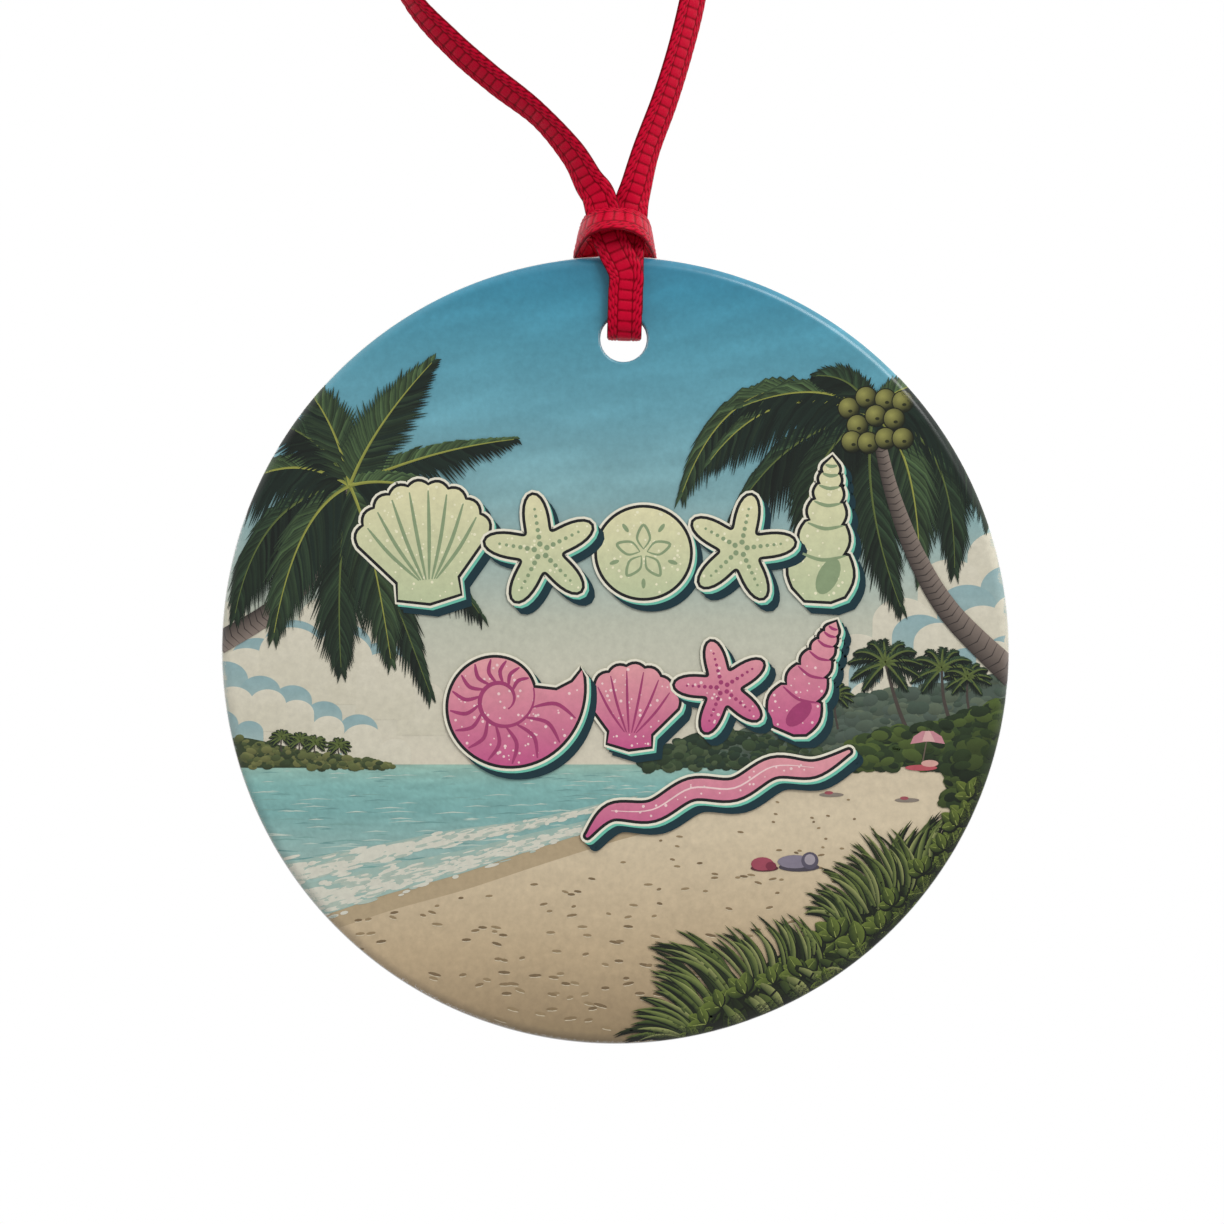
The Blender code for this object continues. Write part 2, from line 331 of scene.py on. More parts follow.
def even_rows(stations, spacing):
    """The smooth curve through the stations, sampled evenly along its length, and each row's distance."""
    rows = smooth(stations, 24)
    run = np.concatenate([[0], np.cumsum(np.linalg.norm(np.diff(rows[:, :3], axis=0), axis=1))])
    count = max(int(run[-1] / spacing), 8)
    wanted = np.linspace(0, run[-1], count + 1)
    return np.column_stack([np.interp(wanted, run, column) for column in rows.T]), wanted


def woven_relief(across, along):
    """Height of the weave from 0 to 1: cross rungs down the middle, and stitched cords along both edges."""
    side = np.abs(across)
    turn = along / RUNG_PITCH
    rung = np.abs(np.sin(math.pi * (turn + 0.10 * across))) ** 0.6
    middle = (0.30 + 0.70 * rung) * (1 - 0.75 * eased(0.34, 0.46, side)) * (0.98 - 0.6 * side**2)
    edge = np.zeros_like(middle)
    for row, centre in enumerate((0.53, 0.70, 0.87)):
        cord = np.sqrt(np.clip(1 - ((side - centre) / 0.10) ** 2, 0, 1))
        stitch = np.abs(np.sin(math.pi * (turn + row * 0.36 + 2.4 * side + 0.25 * np.sign(across))))
        edge = np.maximum(edge, cord * (0.22 + 0.92 * stitch**0.8))
    return np.maximum(np.maximum(middle, edge), 0.24)


def ribbon(name, stations, body, material, spacing=0.085 * MM, columns=41, start=0.0):
    """A woven band through the stations: centre, the way it faces, width and cup, in rows of eight numbers.

    Cup is how far its edges bend back from its middle. Returns the object and its centreline.
    """
    rows, run = even_rows(stations, spacing)
    centre = rows[:, :3]
    along = units(np.gradient(centre, axis=0))
    across = units(np.cross(along, rows[:, 3:6]))
    normal = np.cross(across, along)
    u = np.sin(np.linspace(-1, 1, columns) * math.pi / 2 * 0.92) / math.sin(math.pi / 2 * 0.92)
    grid_u, grid_run = np.meshgrid(u, run + start)
    relief = woven_relief(grid_u, grid_run)
    rounding = np.sqrt(np.clip(1 - np.abs(grid_u) ** 8, 0, 1))
    body_half = RIBBON_THICKNESS / 2
    lift = 0.10 * MM
    sheets = []
    for side in (1, -1):
        height = side * (body_half * rounding + lift * relief * rounding) - rows[:, 7:8] * grid_u**2
        sheet = (
            centre[:, None]
            + across[:, None] * (grid_u * rows[:, 6:7] / 2)[:, :, None]
            + normal[:, None] * height[:, :, None]
        )
        sheets.append(sheet)
    count = len(rows)
    ring = np.concatenate([sheets[0], sheets[1][:, ::-1]], axis=1)
    width = ring.shape[1]
    points = ring.reshape(-1, 3)
    index = np.arange(count * width).reshape(count, width)
    following = np.roll(index, -1, axis=1)
    faces = np.stack([index[:-1], following[:-1], following[1:], index[1:]], axis=-1).reshape(-1, 4)
    caps = [index[0][::-1].tolist(), index[-1].tolist()]
    mesh = bpy.data.meshes.new(name)
    mesh.from_pydata(points.tolist(), [], faces.tolist() + caps)
    mesh.polygons.foreach_set("use_smooth", [True] * len(mesh.polygons))
    # The weave's height, which the ribbon material turns into painted shade in the grooves and a painted
    # highlight on the floats.
    both = np.concatenate([relief, relief[:, ::-1]], axis=1).reshape(-1)
    mesh.attributes.new("relief", "FLOAT", "POINT").data.foreach_set("value", both.astype(np.float32))
    weave_u = np.concatenate([grid_u, grid_u[:, ::-1]], axis=1).reshape(-1)
    weave_run = np.concatenate([grid_run, grid_run], axis=1).reshape(-1)
    weave = np.stack([weave_u * 14, weave_run / MM * 2.2, np.zeros_like(weave_u)], axis=-1)
    vectors = mesh.attributes.new("weave", "FLOAT_VECTOR", "POINT").data
    vectors.foreach_set("vector", weave.astype(np.float32).ravel())
    flip = bmesh.new()
    flip.from_mesh(mesh)
    bmesh.ops.recalc_face_normals(flip, faces=flip.faces)
    flip.to_mesh(mesh)
    flip.free()
    thing = add_object(name, mesh)
    mesh.materials.append(material)
    if body:
        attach(thing, body)
    return thing, centre


def leg_stations(route, outward):
    """A leg's face turns from the front towards the side that outward names, -1 or 1."""
    stations = []
    for x, y, z, turned in route:
        angle = math.radians(turned)
        facing = (outward * math.sin(angle), -math.cos(angle), 0)
        stations.append((x, y, z, *facing, RIBBON_WIDTH, 0.12 * MM))
    return stations


def legs(material):
    """The two legs of the loop. Each turns its face from the front towards its side between the loop's top
    and the hitch.
    """
    for name, route, outward in (("left_leg", LEFT_LEG, -1), ("right_leg", RIGHT_LEG, 1)):
        leg, path = ribbon(name + "_ribbon", leg_stations(route, outward), None, material)
        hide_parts("ribbon_" + name)
        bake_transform(leg)


# ---------------------------------------------------------------- hitch

INNER_LAYER = HALF_THICKNESS + 0.42 * MM
OUTER_LAYER = INNER_LAYER + 0.62 * MM
HOLE_BELOW_RIM = HOLE_CENTRE.z - RIM_TOP
HITCH_X = -1.0 * MM
BAND_HALF = [
    # From the middle of the crossbar to behind the disc: centre from HITCH_X and the rim's top, and facing.
    (0, -3.40, 3.42, 0, -0.62, 0.78),
    (1.25, -3.2, 3.32, 0.22, -0.64, 0.72),
    (2.25, -2.6, 2.95, 0.50, -0.60, 0.58),
    (2.95, -1.5, 2.38, 0.78, -0.48, 0.38),
    (3.28, -0.1, 1.75, 0.93, -0.18, 0.28),
    (3.22, 1.3, 1.0, 0.86, 0.40, 0.20),
    (2.70, 2.25, 0.30, 0.45, 0.88, 0.08),
    (2.50, 2.25, -0.9, 0.0, 1.0, 0.0),
]


def from_rim(x, y, z):
    return (x, y, RIM_TOP + z)


def lip_stations(x, layer, rise, side):
    """From a face of the disc, round the hole's upper lip, to the hole's middle. Side is -1 at the front."""
    bend_y = HALF_THICKNESS - 0.3 * MM
    lip = HOLE_BELOW_RIM + HOLE_RADIUS + 0.3 * MM
    depth = lip - (HOLE_BELOW_RIM + rise)
    top = rise + RIBBON_THICKNESS / 2 + 0.1 * MM
    chord = 2 * math.sqrt((HOLE_RADIUS - 0.15 * MM) ** 2 - top**2)
    narrow = min(RIBBON_WIDTH, chord)
    stations = []
    for angle in (0, 30, 60, 90):
        turn = math.radians(angle)
        y = side * (bend_y + (layer - bend_y) * math.cos(turn))
        z = lip - depth * math.sin(turn)
        width = RIBBON_WIDTH + (narrow - RIBBON_WIDTH) * math.sin(turn) ** 2
        facing = (0, side * math.cos(turn), -math.sin(turn))
        stations.append((*from_rim(x, y, z), *facing, width, 0.0))
    stations.append((*from_rim(x, 0, lip - depth), 0, 0, -1, narrow, 0.0))
    return stations


def hitch(material):
    """The lark's head: two strands up the front and through the hole, and the band round their neck."""
    inner_rise = HOLE_RADIUS - 0.62 * MM
    outer_rise = 0.12 * MM
    strands = (
        # name, neck down to the rim in mm, layer, rise in the hole, x on the face in mm, x of the band's end
        (
            "front_strand_right",
            [(0.29, -1.06, 2.9), (0.22, -1.2, 2.3), (0.10, -1.72, 0.7)],
            INNER_LAYER,
            inner_rise,
            0.10,
            HITCH_X + 2.5 * MM,
        ),
        (
            "front_strand_left",
            [(-1.96, -1.68, 2.9), (-1.80, -1.85, 2.3), (-1.1, -2.35, 0.7)],
            OUTER_LAYER,
            outer_rise,
            0.06,
            HITCH_X - 2.5 * MM,
        ),
    )
    for name, neck, layer, rise, x_mm, end_x in strands:
        x = x_mm * MM
        stations = []
        for neck_x, y, z in neck:
            place = from_rim(neck_x * MM, y * MM, z * MM)
            stations.append((*place, 0, -1, 0, RIBBON_WIDTH, 0.1 * MM))
        for z in (-1.6, -3.4):
            stations.append((*from_rim(x, -layer, z * MM), 0, -1, 0, RIBBON_WIDTH, 0.0))
        stations += lip_stations(x, layer, rise, -1)
        front, _ = ribbon(name + "_ribbon", stations, "hitch", material)
        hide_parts("ribbon_" + name)
        behind = lip_stations(x, layer, rise, 1)[::-1]
        low = behind[-1][2]
        for share, spread, settle in ((0.45, 0.4, 0), (0.85, 0.95, 0.7), (1, 1, 1)):
            y = layer + (2.25 * MM - layer) * settle
            z = low + (RIM_TOP - 0.9 * MM - low) * share
            behind.append((x + (end_x - x) * spread, y, z, 0, 1, 0, RIBBON_WIDTH, 0.0))
        back_name = name.replace("front", "back")
        back, _ = ribbon(back_name + "_ribbon", behind, "hitch", material, start=0.4 * MM)
        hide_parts("ribbon_" + back_name)
    half = [(x * MM, y * MM, RIM_TOP + z * MM, *facing) for x, y, z, *facing in BAND_HALF]
    right = [(HITCH_X + x, y, z, fx, fy, fz, RIBBON_WIDTH, 0.1 * MM) for x, y, z, fx, fy, fz in half]
    left = [(HITCH_X - x, y, z, -fx, fy, fz, RIBBON_WIDTH, 0.1 * MM) for x, y, z, fx, fy, fz in half[1:]]
    band, _ = ribbon("hitch_band_ribbon", left[::-1] + right, "hitch", material)
    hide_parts("ribbon_hitch_band")


def end_knot(material):
    """The overhand knot over the hang point: the doubled ribbon wound round itself, and its two tails."""
    low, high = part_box("ribbon_end_knot")
    middle = (low + high) / 2
    stations = []
    turns = 1.6
    for step in range(25):
        share = step / 24
        angle = math.radians(-150) + share * turns * math.tau
        radius = (1.45 + 0.35 * share) * MM
        rise = (share - 0.5) * 1.5 * MM
        facing = (math.cos(angle), math.sin(angle), 0.15)
        place = middle + Vector((math.cos(angle) * radius, math.sin(angle) * radius * 0.82, rise - 0.3 * MM))
        stations.append((*place, *facing, RIBBON_WIDTH * (0.92 if share < 0.9 else 0.7), 0.5 * MM))
    wrap, _ = ribbon("end_knot_wrap", stations, "hanger", material)
    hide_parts("ribbon_end_knot")
    cross = []
    for step in range(13):
        share = step / 12
        angle = math.radians(195 + 150 * share)
        rise = (share - 0.45) * 2.7 * MM
        tuck = 1 - 0.38 * abs(2 * share - 1) ** 3
        cosine, sine = math.cos(angle), math.sin(angle)
        place = middle + Vector((cosine * 2.25 * MM * tuck, sine * 1.95 * MM * tuck, rise))
        cross.append((*place, cosine, sine, 0.1, RIBBON_WIDTH * 0.82, 0.45 * MM))
    over, _ = ribbon("end_knot_cross", cross, "hanger", material, start=0.3 * MM)
    pieces = [wrap, over]
    for side, name, lean, height in ((-1, "tail_left", 4.2, 9.0), (1, "tail_right", 3.6, 9.8)):
        tail_low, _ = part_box("ribbon_" + name)
        stations = []
        base = tail_low.z - 3.5 * MM
        for share in (-0.25, 0, 0.3, 0.65, 1):
            up = max(share, 0)
            x = side * (0.35 + lean * up**1.4) * MM
            z = base + 3.5 * MM + height * MM * share
            turn = math.radians(90 - 35 * up)
            facing = (side * math.sin(turn), -math.cos(turn), 0)
            stations.append((x, side * 0.8 * MM * up, z, *facing, RIBBON_WIDTH, 0.15 * MM))
        tail, _ = ribbon(name + "_ribbon", stations, "hanger", material)
        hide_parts("ribbon_" + name)
        pieces.append(tail)
    return pieces


# ---------------------------------------------------------------- the glazed disc


def glaze_material():
    """White glaze, very slightly mottled and rippled."""
    material, tree, shader = new_material(
        "white_glaze",
        Roughness=0.16,
        Coat_Weight=0.7,
        Coat_Roughness=0.04,
        Subsurface_Weight=0.05,
        Subsurface_Scale=0.001,
    )
    place = tree.nodes.new("ShaderNodeTexCoord").outputs["Object"]
    mottle = noise_on(tree, place, Scale=240.0, Detail=4.0, Roughness=0.55)
    ramp(tree, mottle, ((0.3, "#F0EEEA"), (0.7, "#F4F3F0")), shader)
    ripple = noise_on(tree, place, Scale=260.0, Detail=2.0)
    bump(tree, ripple, 0.12, 0.00008, shader)
    return material


def turned(name, profile, steps):
    """A closed solid of revolution about Z from (radius, height) pairs, from top to bottom."""
    form = bmesh.new()
    rings = []
    for radius, height in profile:
        if radius == 0:
            rings.append([form.verts.new((0, 0, height))])
            continue
        ring = []
        for step in range(steps):
            angle = math.tau * step / steps
            ring.append(form.verts.new((radius * math.cos(angle), radius * math.sin(angle), height)))
        rings.append(ring)
    for upper, lower in zip(rings, rings[1:]):
        for step in range(steps):
            after = (step + 1) % steps
            corners = [upper[step % len(upper)], lower[step % len(lower)]]
            corners += [lower[after % len(lower)], upper[after % len(upper)]]
            unique = list(dict.fromkeys(corners))
            form.faces.new(unique)
    bmesh.ops.recalc_face_normals(form, faces=form.faces)
    mesh = bpy.data.meshes.new(name)
    form.to_mesh(mesh)
    form.free()
    return add_object(name, mesh)


def arc_points(centre_r, centre_h, radius, first, last, steps):
    """(radius, height) pairs round an arc, between two angles in degrees."""
    points = []
    for step in range(steps + 1):
        angle = math.radians(first + (last - first) * step / steps)
        points.append((centre_r + radius * math.cos(angle), centre_h + radius * math.sin(angle)))
    return points


def glazed_disc(material):
    """The disc with its rounded edges, and a hole whose lips are softened by the glaze."""
    inner = DISC_RADIUS - EDGE_ROUND
    flat = HALF_THICKNESS - EDGE_ROUND
    profile = [(0, HALF_THICKNESS)]
    profile += arc_points(inner, flat, EDGE_ROUND, 90, 0, 10)
    profile += arc_points(inner, -flat, EDGE_ROUND, 0, -90, 10)
    profile += [(0, -HALF_THICKNESS)]
    disc = turned("glazed_disc", profile, 320)
    mouth = HOLE_RADIUS + HOLE_ROUND
    bend = HALF_THICKNESS - HOLE_ROUND
    outside = HALF_THICKNESS + 1 * MM
    spool = [(0, outside), (mouth, outside)]
    spool += arc_points(mouth, bend, HOLE_ROUND, 90, 180, 6)
    spool += arc_points(mouth, -bend, HOLE_ROUND, 180, 270, 6)
    spool += [(mouth, -outside), (0, -outside)]
    cutter = turned("hole_spool", spool, 96)
    cutter.location = (0, (HOLE_CENTRE - DISC_CENTRE).length, 0)
    cut = disc.modifiers.new("hole", "BOOLEAN")
    cut.operation = "DIFFERENCE"
    cut.object = cutter
    bpy.context.view_layer.update()
    evaluated = disc.evaluated_get(bpy.context.evaluated_depsgraph_get())
    mesh = bpy.data.meshes.new_from_object(evaluated)
    disc.modifiers.clear()
    disc.data = mesh
    bpy.data.objects.remove(cutter)
    mesh.transform(Matrix.Translation(DISC_CENTRE) @ Matrix.Rotation(math.radians(90), 4, "X"))
    mesh.polygons.foreach_set("use_smooth", [True] * len(mesh.polygons))
    weighted = disc.modifiers.new("flat_faces", "WEIGHTED_NORMAL")
    weighted.weight = 100
    mesh.materials.clear()
    mesh.materials.append(material)
    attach(disc, "disc")
    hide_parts("ceramic_disc")


# ---------------------------------------------------------------- the print: ink on the disc's face

FLAT_RADIUS = DISC_RADIUS - EDGE_ROUND
PRINT_RADIUS = DISC_RADIUS - PRINT_MARGIN
RIM_EDGE = 0.16
HORIZON = -10.6
SPAN = 37.2
# How far the parts of the print are lifted off the face, in thousandths of a millimetre
BASE_LIFT = 6
FAR_LIFT = BASE_LIFT + 34
BEACH_LIFT = BASE_LIFT + 46
PALM_LIFT = BASE_LIFT + 90
FRONT_LIFT = BASE_LIFT + 94
MOTIF_LIFT = BASE_LIFT + 150


def ink_material():
    """Print under the glaze: the colour painted at each corner, with a fine paper grain."""
    material, tree, shader = new_material(
        "printed_ink", Roughness=0.30, Specular_IOR_Level=0.35, Coat_Weight=0.35, Coat_Roughness=0.18
    )
    place = tree.nodes.new("ShaderNodeTexCoord").outputs["Object"]
    fleck = noise_on(tree, place, Scale=1400.0, Detail=5.0, Roughness=0.7)
    tone = node(tree, "ShaderNodeMapRange", To_Min=0.80, To_Max=1.20)
    tree.links.new(fleck, tone.inputs["Value"])
    product = tree.nodes.new("ShaderNodeVectorMath")
    product.operation = "SCALE"
    tree.links.new(attribute(tree, "ink").outputs["Color"], product.inputs[0])
    tree.links.new(tone.outputs["Result"], product.inputs["Scale"])
    tree.links.new(product.outputs["Vector"], shader.inputs["Base Color"])
    return material


def on_disc(points, lift):
    """Places on the disc's front for print points in mm, lifted along the face's normal, and the normals."""
    x, z = points.T * MM
    cosine, sine = math.cos(PRINT_TURN), math.sin(PRINT_TURN)
    x, z = x * cosine - z * sine, z * cosine + x * sine
    radius = np.maximum(np.hypot(x, z), 1e-9)
    kept = np.minimum(radius, PRINT_RADIUS)
    x, z = x * kept / radius, z * kept / radius
    hole = HOLE_CENTRE - DISC_CENTRE
    away_x, away_z = x - hole.x, z - hole.z
    away = np.maximum(np.hypot(away_x, away_z), 1e-9)
    clear = np.maximum(away, HOLE_RADIUS + 0.06 * HOLE_ROUND)
    x, z = hole.x + away_x * clear / away, hole.z + away_z * clear / away
    lift = lift * (1 - 0.75 * eased(FLAT_RADIUS, PRINT_RADIUS, kept))
    slope = np.clip(kept - FLAT_RADIUS, 0, None) / EDGE_ROUND
    dip = np.clip(HOLE_RADIUS + HOLE_ROUND - clear, 0, None) / HOLE_ROUND
    rise = np.sqrt(1 - np.maximum(slope, dip) ** 2)
    round_by = np.where(dip > 0, HOLE_ROUND, EDGE_ROUND)
    tilt_x = x / kept * slope - away_x / away * dip
    tilt_z = z / kept * slope - away_z / away * dip
    normal = np.stack([tilt_x, -rise, tilt_z], axis=-1)
    face = np.stack([x, round_by * (1 - rise) - HALF_THICKNESS, z], axis=-1)
    return face + normal * lift[:, None] * 1e-6 + np.array(DISC_CENTRE), normal


def split_long(corners, lifts, longest, zone=None):
    """Triangles halved across their longest side until it is short enough; zone picks which ones count."""
    for _ in range(24):
        places = corners[:, :, :2]
        sides = np.linalg.norm(places - np.roll(places, -1, axis=1), axis=2)
        wide = sides.max(axis=1) > longest
        if zone:
            wide &= zone(corners)
        if not wide.any():
            break
        order = (sides[wide].argmax(axis=1)[:, None] + np.arange(3)) % 3
        chosen = np.take_along_axis(corners[wide], order[:, :, None], axis=1)
        a, b, c = chosen[:, 0], chosen[:, 1], chosen[:, 2]
        middle = (a + b) / 2
        halves = np.concatenate([np.stack([a, middle, c], axis=1), np.stack([middle, b, c], axis=1)])
        corners = np.concatenate([corners[~wide], halves])
        lifts = np.concatenate([lifts[~wide], lifts[wide], lifts[wide]])
    return corners, lifts


def spread(number, span):
    """A different lift for each of many shapes that overlap, within span."""
    return number * 0.6180339887 % 1 * span


class Ink:
    """Flat shapes for one part of the print: triangles of (x, z, red, green, blue), and a lift for each."""

    def __init__(self, name):
        self.name = name
        self.corners = []
        self.lifts = []

    def add(self, triangles, lift):
        if len(triangles):
            self.corners.append(np.asarray(triangles, float))
            self.lifts.append(np.full(len(triangles), float(lift)))

    def area(self, outline, paint, lift, longest=None):
        """A filled outline. Paint is a colour, or a function that gives the colour at arrays of x and z."""
        flat = tessellate_polygon([[Vector((x, z, 0)) for x, z in outline]])
        places = np.array(outline, float)[np.array(flat)]
        lifts = np.zeros(len(places))
        if longest:
            places, lifts = split_long(places, lifts, longest)
        self.add(painted(places, paint), lift)

    def line(self, points, widths, colours, lift, closed=False):
        """A tapered stroke: a width at each point, and one colour or a (left, right) pair at each point."""
        points = np.array(points, float)
        along = np.gradient(points, axis=0)
        if closed:
            along[[0, -1]] = points[1] - points[-2]
        aside = left_of(units(along)) * (np.array(widths, float) / 2)[:, None]
        pairs = [colour if isinstance(colour[0], tuple) else (colour, colour) for colour in colours]
        left = np.column_stack([points + aside, np.array([pair[0] for pair in pairs])])
        right = np.column_stack([points - aside, np.array([pair[1] for pair in pairs])])
        first = np.stack([left[:-1], right[:-1], right[1:]], axis=1)
        second = np.stack([left[:-1], right[1:], left[1:]], axis=1)
        for part in range(3):
            self.add(np.concatenate([first[part::3], second[part::3]]), lift + 0.25 * part)

    def oval(self, x, z, wide, high, paint, lift, sides=16, turn=0.0):
        self.area(oval_outline(x, z, wide, high, sides, turn), paint, lift)

    def build(self, material):
        """The shapes as one mesh on the disc's front, cut to the print's circle and laid round its edge."""
        corners = np.concatenate(self.corners)
        lifts = np.concatenate(self.lifts)
        near = near_edges(corners)
        edge, edge_lifts = trim(corners[near], lifts[near])
        corners = np.concatenate([corners[~near], edge])
        lifts = np.concatenate([lifts[~near], edge_lifts])
        points, normals = on_disc(corners[:, :, :2].reshape(-1, 2), np.repeat(lifts, 3))
        facing = np.cross(points[1::3] - points[::3], points[2::3] - points[::3])
        size = np.linalg.norm(facing, axis=1)
        backward = (facing * normals[::3]).sum(axis=1) < 0
        index = np.arange(len(points)).reshape(-1, 3)
        index[backward] = index[backward][:, ::-1]
        index = index[size > 1e-13]
        used = index.reshape(-1)
        mesh = bpy.data.meshes.new(self.name)
        mesh.from_pydata(points[used].tolist(), [], np.arange(len(used)).reshape(-1, 3).tolist())
        mesh.polygons.foreach_set("use_smooth", [True] * len(mesh.polygons))
        colours = np.ones((len(used), 4), np.float32)
        colours[:, :3] = np.clip(corners[:, :, 2:].reshape(-1, 3)[used], 0, 1)
        mesh.attributes.new("ink", "FLOAT_COLOR", "POINT").data.foreach_set("color", colours.ravel())
        mesh.normals_split_custom_set_from_vertices(normals[used].tolist())
        mesh.materials.append(material)
        thing = add_object(self.name, mesh)
        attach(thing, "disc")
        return thing


def painted(places, paint):
    """Triangles of places with their colours added."""
    flat = places.reshape(-1, 2)
    colours = paint(flat[:, 0], flat[:, 1]) if callable(paint) else np.tile(paint, (len(flat), 1))
    return np.concatenate([flat, colours], axis=1).reshape(-1, 3, 5)


HOLE_IN_PRINT = ((HOLE_CENTRE - DISC_CENTRE) / MM).xz @ Matrix.Rotation(PRINT_TURN, 2)


def from_middle(corners):
    """How far each corner is from the middle of the disc, and from the middle of the hole."""
    outer = np.hypot(corners[:, :, 0], corners[:, :, 1])
    inner = np.hypot(corners[:, :, 0] - HOLE_IN_PRINT.x, corners[:, :, 1] - HOLE_IN_PRINT.y)
    return outer, inner


def near_edges(corners):
    """Which triangles reach the disc's rounded edge or the lip of its hole."""
    outer, inner = from_middle(corners)
    sides = np.linalg.norm((corners - np.roll(corners, -1, axis=1))[:, :, :2], axis=2).max(axis=1)
    lip = (HOLE_RADIUS + HOLE_ROUND) / MM
    nearest = inner.min(axis=1)
    return (outer.max(axis=1) > FLAT_RADIUS / MM) | ((nearest < lip + sides) & (nearest < lip + 1))


def trim(corners, lifts):
    """Triangles at the disc's rounded edge or hole: split finely, and those wholly off the print left out."""
    for longest in (4, 1, RIM_EDGE):
        corners, lifts = split_long(corners, lifts, longest, near_edges)
        outer, inner = from_middle(corners)
        middle = np.linalg.norm(corners[:, :, :2].mean(axis=1), axis=1)
        kept = outer.min(axis=1) < PRINT_RADIUS / MM
        kept |= (middle < PRINT_RADIUS / MM + 3) & (longest > RIM_EDGE)
        kept &= inner.max(axis=1) > HOLE_RADIUS / MM
        corners, lifts = corners[kept], lifts[kept]
    return corners, lifts


def turned_by(points, x, z, turn):
    """Points round the origin, turned and then moved to x and z."""
    cosine, sine = math.cos(turn), math.sin(turn)
    return [(x + a * cosine - b * sine, z + a * sine + b * cosine) for a, b in points]


def oval_outline(x, z, wide, high, sides=16, turn=0.0):
    points = []
    for step in range(sides):
        angle = math.tau * step / sides
        along, up = wide * math.cos(angle), high * math.sin(angle)
        points.append((along, up))
    return turned_by(points, x, z, turn)


def grain(x, z, wide, high, seed=0.0):
    """Soft noise from -1 to 1 with features about wide by high mm."""
    return np.array([noise.fractal(Vector((a / wide, b / high, seed)), 1.0, 2.0, 4) for a, b in zip(x, z)])


def fade(stops, wobble=None):
    """A paint that runs up through (z, colour) stops. Wobble gives a change of brightness at x and z."""
    heights = [height for height, _ in stops]
    colours = np.array([linear(colour) for _, colour in stops])

    def paint(x, z):
        mixed_in = np.stack([np.interp(z, heights, channel) for channel in colours.T], axis=-1)
        if wobble:
            mixed_in = mixed_in * (1 + wobble(x, z))[:, None]
        return mixed_in

    return paint


def blend_of(first, second, share):
    """The colours a share of the way from first to second, for an array of shares."""
    first, second = np.array(first), np.array(second)
    return first + (second - first) * np.clip(share, 0, 1)[:, None]


def curve(points, steps=8):
    """A smooth curve through the points."""
    return [tuple(row) for row in smooth(points, steps)]


def shade(colour, amount):
    return tuple(channel * amount for channel in colour)


SKY = [
    (-10.6, "#DDD5C0"),
    (-4.0, "#D3CFBB"),
    (2.6, "#C3C6B4"),
    (8.0, "#A8BCB4"),
    (14.0, "#86B0B4"),
    (22.0, "#69A5B4"),
    (28.0, "#569CB0"),
    (33.0, "#4190AA"),
    (36.5, "#3885A2"),
]
SAND = [
    (-37, "#8E7B5C"),
    (-33, "#A99373"),
    (-28, "#C2AC8A"),
    (-22, "#D0BD9D"),
    (-16, "#DACAAC"),
    (-10.6, "#D9CAAE"),
]
SEA = [
    (-24, "#AEC4B8"),
    (-19, "#98B9B2"),
    (-15, "#7FB0AC"),
    (-12.6, "#86B8B2"),
    (-11.3, "#93BDB2"),
    (-10.6, "#9CC0B0"),
]


def sky_and_sand(ink):
    """The whole face: sky down to the horizon, and sand below it."""

    def wisps(x, z):
        streak = grain(x + 0.9 * z, z - 0.22 * x, 14, 2.4, 3)
        high = np.clip((z - 2) / 8, 0, 1)
        return 0.20 * np.clip(streak, -0.15, 1) * high + 0.025 * grain(x, z, 1.2, 1.0, 8)

    def ripples(x, z):
        return 0.05 * grain(x, z, 5, 1.2, 5) + 0.05 * grain(x, z, 0.7, 0.4, 9)

    sky = [(-SPAN, HORIZON), (SPAN, HORIZON), (SPAN, SPAN), (-SPAN, SPAN)]
    sand = [(-SPAN, -SPAN), (SPAN, -SPAN), (SPAN, HORIZON), (-SPAN, HORIZON)]
    ink.area(sky, fade(SKY, wisps), BASE_LIFT, 0.75)
    ink.area(sand, fade(SAND, ripples), BASE_LIFT, 0.6)


SHORE = [(14.2, -11.3), (10.2, -12.8), (2.6, -15.5), (-1.8, -16.7), (-8, -18.4), (-15, -20.4), (-21.4, -21.9)]
SHORE += [(-27.8, -23.7), (-33, -24.6)]
SHORE_X, SHORE_Z = np.array(SHORE[::-1]).T
SURF = [(1, -13.9), (-2.6, -14.9), (-9, -16.4), (-15.3, -17.4), (-22, -18.9), (-29.7, -20.6), (-35, -21.6)]


